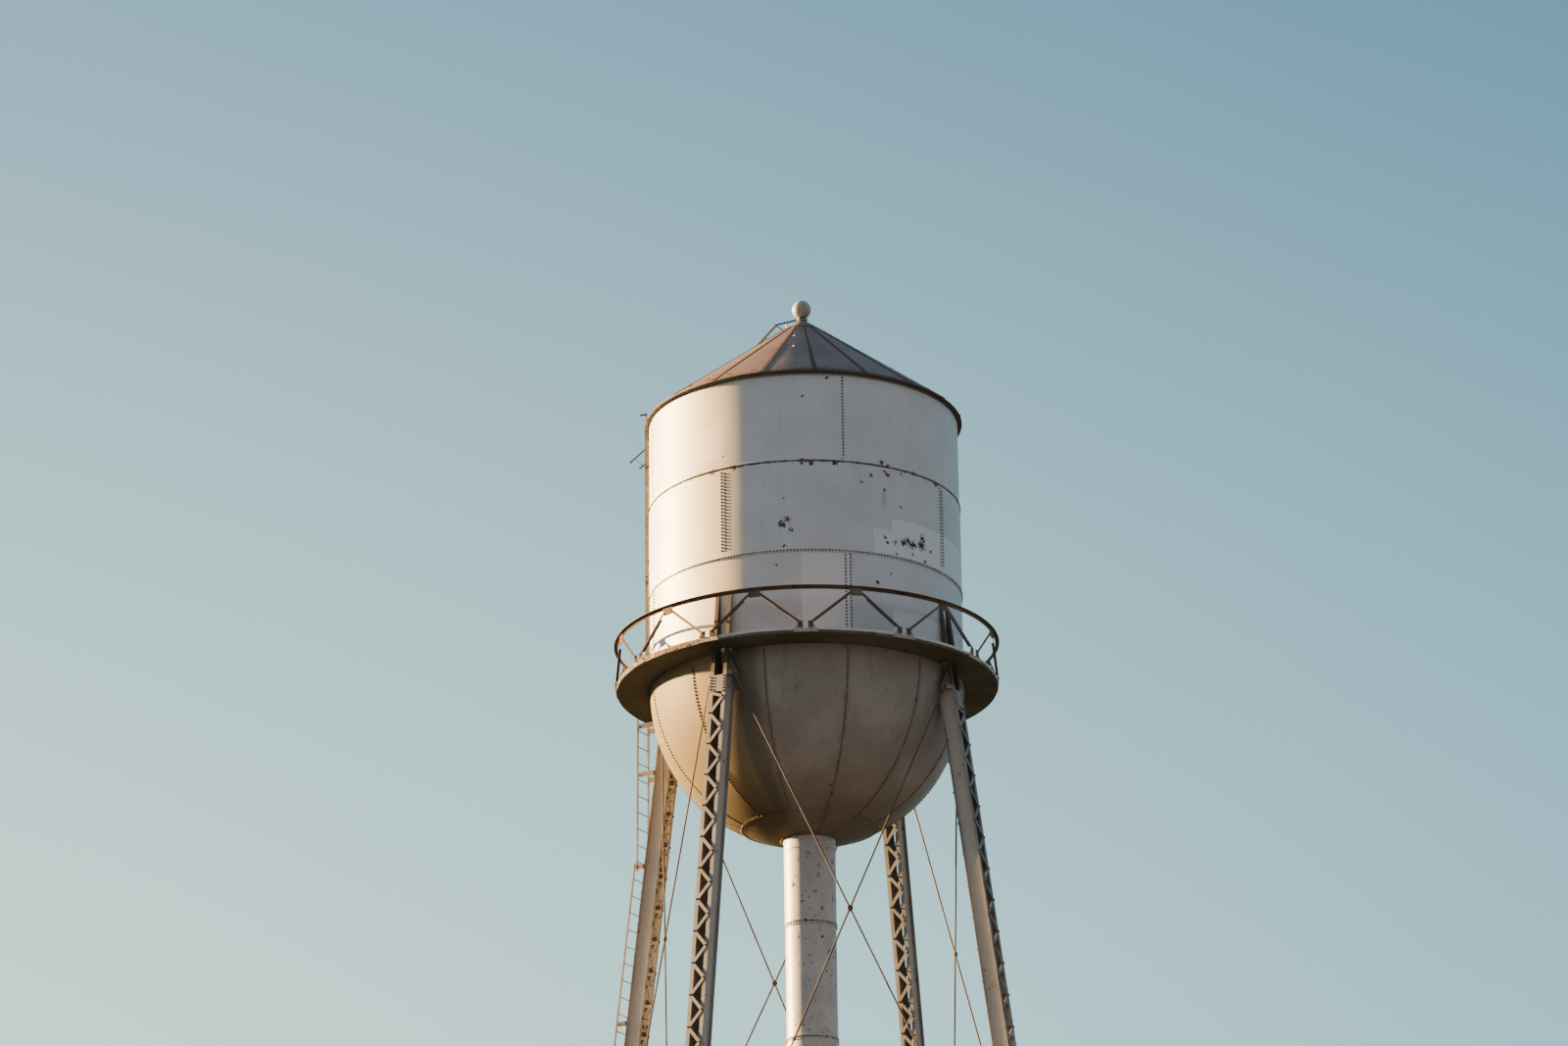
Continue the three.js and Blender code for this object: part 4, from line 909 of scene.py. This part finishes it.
rail_paint = old_paint(
    "rail_paint_aged", RAIL_BROWN, RAIL_CHALK, (0.07, 0.045, 0.03),
    rusted=0.60, seed=8.0, extra=rail_painted_shade, dull=0.72, gloss=0.06,
)
plate_paint = old_paint(
    "rail_foot_paint", PLATE_CREAM, (0.56, 0.52, 0.45), RUST_BROWN,
    rusted=0.50, streaked=0.5, seed=10.0, extra=plate_rust_and_painted_shade, dull=0.7, gloss=0.06,
)
head_paint = old_paint(
    "rail_head_paint", (0.15, 0.12, 0.09), (0.27, 0.235, 0.185), RUST_BROWN,
    rusted=0.62, streaked=0.5, seed=18.0, extra=plate_rust_and_painted_shade, dull=0.7, gloss=0.06,
)
piece("rail_angle", spun([
    (RAIL_IN, RAIL_TOP - 0.064), (RAIL_IN + 0.008, RAIL_TOP - 0.064), (RAIL_IN + 0.008, RAIL_TOP - 0.008),
    (RAIL_R, RAIL_TOP - 0.008), (RAIL_R, RAIL_TOP - 0.002), (RAIL_R - 0.002, RAIL_TOP), (RAIL_IN, RAIL_TOP),
]), rail_paint, ["handrail"])
head_at = even(12)
foot_at = head_at + 15.0
head_out, foot_out = away(head_at), away(foot_at)
head_side, foot_side = away(head_at + 90.0), away(foot_at + 90.0)
head_plate = prism([(-0.136, 0.0), (-0.106, -0.170), (0.106, -0.170), (0.136, 0.0)], -0.007, 0.007)
horn = np.array([(0.050, 0.0), (0.240, 0.0), (0.146, 0.171), (0.146, 0.216), (0.050, 0.216)])
foot_shapes = [
    prism(horn, 0.0, 0.014),
    prism(horn * (-1.0, 1.0), 0.0, 0.014),
    prism([(-0.050, 0.0), (0.050, 0.0), (0.050, 0.060), (-0.050, 0.060)], 0.0, 0.014),
]
tab = prism([(-0.046, 0.0), (0.046, 0.0), (0.046, 0.128), (-0.046, 0.128)], 0.0, 0.007)
piece("rail_feet", [
    placed(shape, at(foot_at, WALK_R + 0.0005, 0.010), foot_out, foot_side) for shape in foot_shapes
], plate_paint)
heads = placed(head_plate, at(head_at, RAIL_IN + 0.0155, RAIL_TOP - 0.0085), head_out, head_side)
piece("rail_heads", heads, head_paint)
skins = [
    placed(tab, at(foot_at, WALK_R + 0.0140, 0.096, side), foot_out, foot_side) for side in (-0.098, 0.098)
]
bolt_head = button(0.014, 0.010)
for way in (-1.0, 1.0):
    low = at(foot_at + way * 1.5, WALK_R + 0.0270, 0.186)
    span = at(foot_at + way * 13.1, RAIL_IN + 0.0270, RAIL_TOP - 0.134) - low
    flat_side = np.cross(span, away(foot_at + way * 7.5))
    flat = prism(oblong(0.024, 0.004), -0.01, 1.01)
    fin = prism(np.array(oblong(0.003, 0.0215)) + (0.021 * way, 0.0245), 0.09, 0.87)
    skins += [placed(leg_of_angle, low, span, flat_side) for leg_of_angle in (flat, fin)]
    skins += [placed(bolt_head, at(azimuths, radius, height), out, UP) for azimuths, radius, height, out in (
        (foot_at + way * 1.5, WALK_R + 0.0305, 0.188, foot_out),
        (foot_at + way * 3.2, WALK_R + 0.0145, 0.060, foot_out),
        (head_at + way * 1.75, RAIL_IN + 0.0315, RAIL_TOP - 0.130, head_out),
    )]
piece("rail_braces", skins, rail_paint)

# Roof. Nineteen conical sheets over a rim band at the eave, each joint under a tapering cover strip,
# with a round cover plate at the crown; slate paint, scorched brown where the strips hold the wet.
EAVE_R = 3.143
EAVE_Z = 5.502
ROOF_RISE = 0.7373
SLOPE = np.arctan(ROOF_RISE)
RIB_COUNT = 19
RIB_FIRST = -10.4
RIBS = RIB_FIRST + even(RIB_COUNT)
RIB_ENDS = (0.386, 3.142)
NECK_HOLE = 0.0763
HEAD_RING = 2.945
RIM_FOOT = 5.4853
ROOF_SLATE = (0.190, 0.128, 0.108)
ROOF_CHALK = (0.265, 0.182, 0.156)
ROOF_GRIME = (0.125, 0.078, 0.062)


def roof_height(radius):
    """The cone: it rises by ROOF_RISE for each step inwards."""
    return EAVE_Z + (EAVE_R - radius) * ROOF_RISE


def on_roof(azimuths, radius, over=0.0):
    """Points on the cone, or this far straight over it."""
    return at(azimuths, radius, roof_height(radius) + over)


def roof_out(azimuths):
    """The directions square to the cone."""
    return at(azimuths, np.sin(SLOPE), np.cos(SLOPE) - WALK)


def roof_wear_and_painted_shade(finish, colour, rust):
    """Brown stains along the cover strips, longer towards the eave, each sheet a little different, and
    painted shade that darkens the sunlit side's sheets.
    """
    panel = 2 * np.pi / RIB_COUNT
    turned = finish.azimuth - np.radians(RIB_FIRST)
    flat = finish.from_axis()
    beside = abs(turned.offset(panel)) * flat
    which = ((turned / panel).math("FLOOR") * 12.9898).math("SINE") * 43758.5453
    ragged = finish.cloud(5.0, 7.0, 0.75, seed=71.0)
    colour = finish.over(
        colour,
        (which.math("FRACT") * 0.45, ROOF_CHALK),
        # Painted shade: the sunlit side's sheets darker.
        (finish.sun_side(-0.45, -0.75) * 0.6, (0.105, 0.068, 0.054)),
        ((ragged * 0.42 - 0.14 - beside).ramp(0.0, 0.14) * 0.7, (0.13, 0.085, 0.06)),
    )
    edge = (ragged * 0.16 + flat - 3.10).ramp(0.0, 0.05)
    return colour, rust.larger(edge * 0.8)


def crown_wear(finish, colour, rust):
    """A dark line round the cover plate's edge."""
    edge = finish.from_axis().ramp(0.405, 0.425)
    return finish.mixed(edge * 0.85, colour, (0.045, 0.03, 0.024)), rust


roof_paint = old_paint(
    "roof_paint_aged", ROOF_SLATE, ROOF_CHALK, ROOF_GRIME, rusted=0.42, seed=11.0, extra=roof_wear_and_painted_shade, dull=0.56
)
rib_paint = old_paint(
    "rib_paint_aged", (0.062, 0.036, 0.024), (0.10, 0.062, 0.042), (0.03, 0.019, 0.014),
    rusted=0.80, seed=12.0, dull=0.78,
)
crown_paint = old_paint(
    "crown_paint_aged", (0.19, 0.145, 0.125), (0.25, 0.20, 0.175), ROOF_GRIME,
    seed=19.0, extra=crown_wear, dull=0.6,
)
soffit_paint = old_paint(
    "soffit_paint_aged", (0.135, 0.100, 0.074), (0.17, 0.13, 0.095), (0.07, 0.05, 0.035),
    rusted=0.45, streaked=0.2, seed=20.0, dull=0.7,
)
sheet = [(r, roof_height(r)) for r in (3.134, 2.4, 1.6, 0.8, NECK_HOLE)]
under = [(r, z - 0.008) for r, z in sheet[::-1]]
piece("roof_sheets", spun(sheet + under), roof_paint, ["roof_cone"])
radii = np.linspace(*RIB_ENDS[::-1], 14)
half = np.interp(radii, RIB_ENDS, [0.019, 0.046])
lift = np.array([-0.002, 0.007, 0.011, 0.011, 0.007, -0.002])
share = np.array([-1.0, -1.0, -0.86, 0.86, 1.0, 1.0])
strip = loft(at(
    0.0,
    radii[:, None] + lift * np.sin(SLOPE),
    roof_height(radii)[:, None] + lift * np.cos(SLOPE) - WALK,
    half[:, None] * share,
))
strips = placed(strip, (0.0, 0.0, WALK), UP, away(RIBS + 90.0))
piece("roof_strips", strips, rib_paint, ["roof_ribs"])
crown = [(r, roof_height(r) + over) for r, over in (
    (0.436, 0.0006), (0.436, 0.010), (0.432, 0.0135), (NECK_HOLE, 0.012), (NECK_HOLE, 0.0006),
)]
piece("crown_plate", spun(crown), crown_paint)
rim_top = roof_height(3.134) - 0.0085
piece("eave_rim", spun([
    (TANK_R - PLATE, RIM_FOOT), (EAVE_R, RIM_FOOT), (EAVE_R, rim_top - 0.002), (EAVE_R - 0.002, rim_top),
    (TANK_R - PLATE, rim_top),
]), soffit_paint, ["roof_rim"])
heads = []
for beside in (-0.272, -0.218, 0.218, 0.272):
    azimuths = RIBS + np.degrees(beside / HEAD_RING)
    heads.append(placed(button(0.018, 0.014), on_roof(azimuths, HEAD_RING), roof_out(azimuths), UP))
for beside in (-1.0, 1.0):
    azimuths, radii = (grid.ravel() for grid in np.meshgrid(RIBS, np.linspace(0.52, 3.06, 18)))
    azimuths = azimuths + beside * np.degrees(np.interp(radii, RIB_ENDS, [0.012, 0.036]) / radii)
    out = roof_out(azimuths)
    heads.append(placed(button(0.009, 0.006), on_roof(azimuths, radii) + 0.010 * out, out, UP))
piece("roof_rivets", heads, rivet_paint)

# Finial. A spun ball on a waisted neck with a foot flange; a pivot bolt runs through the neck, and the
# revolving ladder's collar turns round it. A short light post stands on the crown beside it.
BALL_R = 0.190
BALL_Z = 8.018
BOLT_Z = 7.803


def ball_wear(finish, colour, rust):
    """Clouds of greenish brown."""
    side = finish.cloud(6.0, 5.0, 0.6, seed=81.0)
    return finish.mixed(side.ramp(0.35, 0.6) * 0.4, colour, (0.27, 0.25, 0.19)), rust


ball_paint = old_paint(
    "finial_paint_aged", (0.50, 0.47, 0.41), (0.62, 0.59, 0.52), (0.20, 0.17, 0.13),
    rusted=0.55, streaked=0.4, seed=13.0, extra=ball_wear,
)
swing = np.linspace(-np.arccos(0.076 / BALL_R), np.pi / 2 - 0.03, 20)
foot = [
    (0.100, 7.7754), (0.100, 7.7880), (0.0985, 7.7894), (0.0790, 7.7894), (0.0762, 7.7925), (0.0760, 7.830),
]
ball = [(BALL_R * np.cos(t), BALL_Z + BALL_R * np.sin(t)) for t in swing]
finial = lathed([(r, WALK + z) for r, z in foot + ball], 48)
piece("finial_ball", finial, ball_paint, ["finial"], crease=50.0)
nut = circle(0.024, 6)
shapes = [prism(circle(0.013, 10), -0.125, 0.125), prism(nut, 0.105, 0.123), prism(nut, -0.123, -0.105)]
skins = [placed(shape, (0.0, 0.0, WALK + BOLT_Z), away(75.2), UP) for shape in shapes]
piece("neck_bolt", skins, steel_dark)
post_paint = old_paint(
    "post_paint_light", (0.70, 0.69, 0.66), (0.80, 0.79, 0.76), (0.35, 0.30, 0.25), rusted=0.25, seed=14.0
)
post = lathed([(0.020, 0.0), (0.020, 0.10), (0.026, 0.104), (0.026, 0.118), (0.012, 0.124)], 12)
dots = np.array([-20.0, -22.6])
piece("crown_post", [
    placed(post, on_roof(-104.8, 0.300, -0.01), UP, (1.0, 0.0, 0.0)),
    placed(button(0.026, 0.016, 10), on_roof(dots, np.array([1.693, 1.036])), roof_out(dots), UP),
], post_paint)

# Ladders. Flat bar stiles with round rungs let through them, hung on bolted straps: one up the back left
# leg in two lengths, one on the shell, and one on the roof that turns round the finial's neck.
LEG_FACE = 0.162 / np.cos(BATTER)
BACK_LEFT = -135.0
SHELL_LADDER = -108.75
STILE = 0.2
RUNG_STEP = 0.335
OFF_LEG = 0.203
LENGTHS_MEET = -2.88
COLLAR = (7.7902, 7.8294)
ladder_paint = old_paint(
    "ladder_paint_aged", (0.17, 0.125, 0.09), (0.27, 0.21, 0.16), (0.07, 0.05, 0.035),
    rusted=0.72, streaked=0.5, seed=15.0,
)
# Near black, so that the roof ladder, the side arm and the eave bracket read unlit under the lamp: painted
# shade.
ladder_dark = old_paint(
    "roof_ladder_black_painted_shade", (0.011, 0.011, 0.012), (0.024, 0.022, 0.022), (0.008, 0.007, 0.006),
    rusted=0.1, seed=16.0, dull=0.6,
)


def ladder(azimuth, foot, head, deep, first, half=STILE, last=0.1, thick=0.010):
    """Two stiles from foot to head, given as distance from the axis and height, and rungs at a step."""
    foot, head = np.array(foot), np.array(head)
    sides = np.array([-half, half])
    low, high = at(azimuth, *foot, sides), at(azimuth, *head, sides)
    beside = away(azimuth + 90.0)
    long = np.hypot(*(head - foot))
    along = np.arange(first, long - last, RUNG_STEP) / long
    r, z = foot[:, None] + (head - foot)[:, None] * along
    return [
        placed(prism(oblong(thick / 2, deep / 2)), low, high - low, beside),
        placed(prism(circle(0.0105, 8)), at(azimuth, r, z, -half - 0.008), beside * (2 * half + 0.016), UP),
    ]


def leg_face(height):
    """How far the back left leg's outer face is from the axis."""
    return LEG_R - LEG_LEAN * height + LEG_FACE


lower_foot, lower_head = ((leg_face(height) + OFF_LEG, height) for height in (-27.9, LENGTHS_MEET))
upper_foot, upper_head = (3.79, -3.07), (3.76, 0.8272)
skins = ladder(BACK_LEFT, lower_head, lower_foot, 0.040, 0.333)
skins += ladder(BACK_LEFT, upper_foot, upper_head, 0.040, 0.200)
ties = np.array([-0.11, -1.11, -2.975, -6.07, -9.2, -12.8, -16.0, -19.2, -22.5, -25.5])
on_upper = np.interp(ties, [upper_foot[1], upper_head[1]], [upper_foot[0], upper_head[0]])
stile_r = np.where(ties < LENGTHS_MEET, leg_face(ties) + OFF_LEG, on_upper)
inner_r = leg_face(ties) + 0.0107
strap = prism([
    (-0.205, -0.05), (-0.160, -0.05), (-0.120, -0.036), (0.120, -0.036), (0.160, -0.05), (0.205, -0.05),
    (0.205, 0.05), (-0.205, 0.05),
], 0.0, 0.008)
lean_out = leg_ways(BACK_LEFT)[0]
beside = away(BACK_LEFT + 90.0)
skins.append(placed(strap, at(BACK_LEFT, inner_r, ties), lean_out, beside))
for way in (-1.0, 1.0):
    side = way * STILE
    starts = at(BACK_LEFT, inner_r + 0.011, ties, side)
    ends = at(BACK_LEFT, stile_r, ties, side)
    strap_bolts = at(BACK_LEFT, inner_r + 0.007, ties - 0.005, side * 0.84)
    skins += [
        placed(prism(oblong(0.005, 0.05)), starts, ends - starts, beside),
        placed(bolt_head, strap_bolts, lean_out, beside),
        placed(bolt_head, at(BACK_LEFT, stile_r - 0.03, ties, side * 1.025), beside * way, UP),
    ]
splice = prism(oblong(0.006, 0.02), 0.0, 1.40)
skins.append(placed(splice, at(BACK_LEFT, 3.790, -0.62, -0.211), UP, beside))
piece("leg_ladder_bars", skins, ladder_paint, ["leg_ladder"])

skins = ladder(SHELL_LADDER, (3.11, 0.0125), (3.11, 5.4845), 0.050, 0.300, last=0.12)
shell_side = away(SHELL_LADDER + 90.0)
for height in (0.73, 2.73, 4.73):
    for side in (-STILE, STILE):
        start, end = (at(SHELL_LADDER, r, height, side) for r in (TANK_R - 0.012, 3.09))
        skins.append(placed(prism(oblong(0.005, 0.03)), start, end - start, shell_side))
piece("shell_ladder_bars", skins, ladder_paint, ["shell_ladder"])

eye = prism(circle(0.020, 8), -0.012, 0.012)
skins = [placed(eye, at(SHELL_LADDER, 3.420, 4.834, STILE), shell_side, UP)]
for first, second, thick in (
    ((3.1353, 5.092), (3.426, 4.828), 0.017),
    ((3.1353, 4.785), (3.245, 4.686), 0.018),
    ((3.338, 4.900), (3.170, 4.752), 0.006),
):
    start, end = at(SHELL_LADDER, *first, STILE), at(SHELL_LADDER, *second, STILE)
    skins.append(placed(prism(circle(thick, 12)), start, end - start, shell_side))
piece("side_arm_rods", skins, ladder_dark, ["side_arm"])
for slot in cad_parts["eave_bracket"].material_slots:
    slot.material = ladder_dark

foot, head = (2.930, roof_height(2.930) + 0.190), (0.490, roof_height(0.490) + 0.290)
skins = ladder(BACK_LEFT, head, foot, 0.048, 0.020, half=0.16, last=0.06, thick=0.016)
foot_z, head_z = COLLAR
skins.append(spun([(0.080, foot_z), (0.094, foot_z), (0.094, head_z), (0.080, head_z)], even(48)))
for side in (-1.0, 1.0):
    start = at(BACK_LEFT, 0.088, head_z - 0.024, side * 0.04)
    end = at(BACK_LEFT, head[0] + 0.005, head[1], side * 0.16)
    low = at(BACK_LEFT, 2.911, foot[1] - 0.150, side * 0.16)
    skins += [
        placed(prism(oblong(0.015, 0.006)), start, end - start, UP),
        placed(prism(oblong(0.005, 0.017), 0.0, 0.150), low, UP, beside),
    ]
piece("roof_ladder_bars", skins, ladder_dark, ["roof_ladder"], body="roof_ladder")

# Floor and light. A wide pale floor, a plain sky that is palest low on the lamp's side and brown under the
# horizon, as over bare ground, and one warm lamp low on the left.
FLOOR_HALF = 900.0
LAMP_AZIMUTH = -127.4
LAMP_RISE = np.radians(12.9)
floor_mesh = bpy.data.meshes.new("floor")
floor_mesh.from_pydata([(x, y, -0.002) for x, y in oblong(FLOOR_HALF, FLOOR_HALF)], [], [(0, 1, 2, 3)])
floor = bpy.data.objects.new("floor", floor_mesh)
bpy.context.scene.collection.objects.link(floor)
floor.visible_diffuse = False
floor.visible_glossy = False
floor_finish = bpy.data.materials.new("floor_pale")
bare_ground = Mixing(floor_finish)
bare_ground.join(
    bare_ground.tree.nodes["Principled BSDF"], {"Base Color": (0.28, 0.27, 0.25), "Roughness": 0.9}
)
floor_mesh.materials.append(floor_finish)
sun = bpy.data.objects.new("lamp_low_left", bpy.data.lights.new("lamp_low_left", "SUN"))
sun.data.energy = 42.0
sun.data.angle = np.radians(2.0)
sun.data.color = (1.0, 0.61, 0.25)
sun_frame = np.eye(4)
towards = at(LAMP_AZIMUTH, np.cos(LAMP_RISE), np.sin(LAMP_RISE) - WALK)
sun_frame[:3, :3] = stand((0.0, 0.0, 0.0), towards, UP)[0][:, :3]
sun.matrix_world = Matrix(sun_frame.tolist())
bpy.context.scene.collection.objects.link(sun)
world = bpy.data.worlds.new("pale_sky")
sky = Mixing(world)
way = sky.node("ShaderNodeTexCoord").outputs["Generated"]
axes = sky.node("ShaderNodeSeparateXYZ", {0: way}).outputs
east, north, rise = (Mask(sky, socket) for socket in axes)
lamp_side = away(LAMP_AZIMUTH)
lampward = east * lamp_side[0] + north * lamp_side[1]
lit_side = sky.mixed(rise.ramp(0.10, 0.55), (1.35, 1.81, 1.56), (0.22, 0.46, 0.71))
blue_side = sky.mixed(rise.ramp(0.10, 0.55), (0.34, 0.77, 0.95), (0.07, 0.24, 0.38))
behind = sky.mixed(rise.ramp(0.0, 0.7), (0.45, 0.49, 0.54), (0.35, 0.43, 0.53))
dome = sky.over(
    blue_side,
    (lampward.ramp(0.05, 0.70), lit_side),
    (north.ramp(0.30, -0.25), behind),
    (rise.ramp(0.0, -0.04), (0.172, 0.148, 0.112)),
)
sky.join(sky.tree.nodes["Background"], {"Color": dome})
bpy.context.scene.world = world
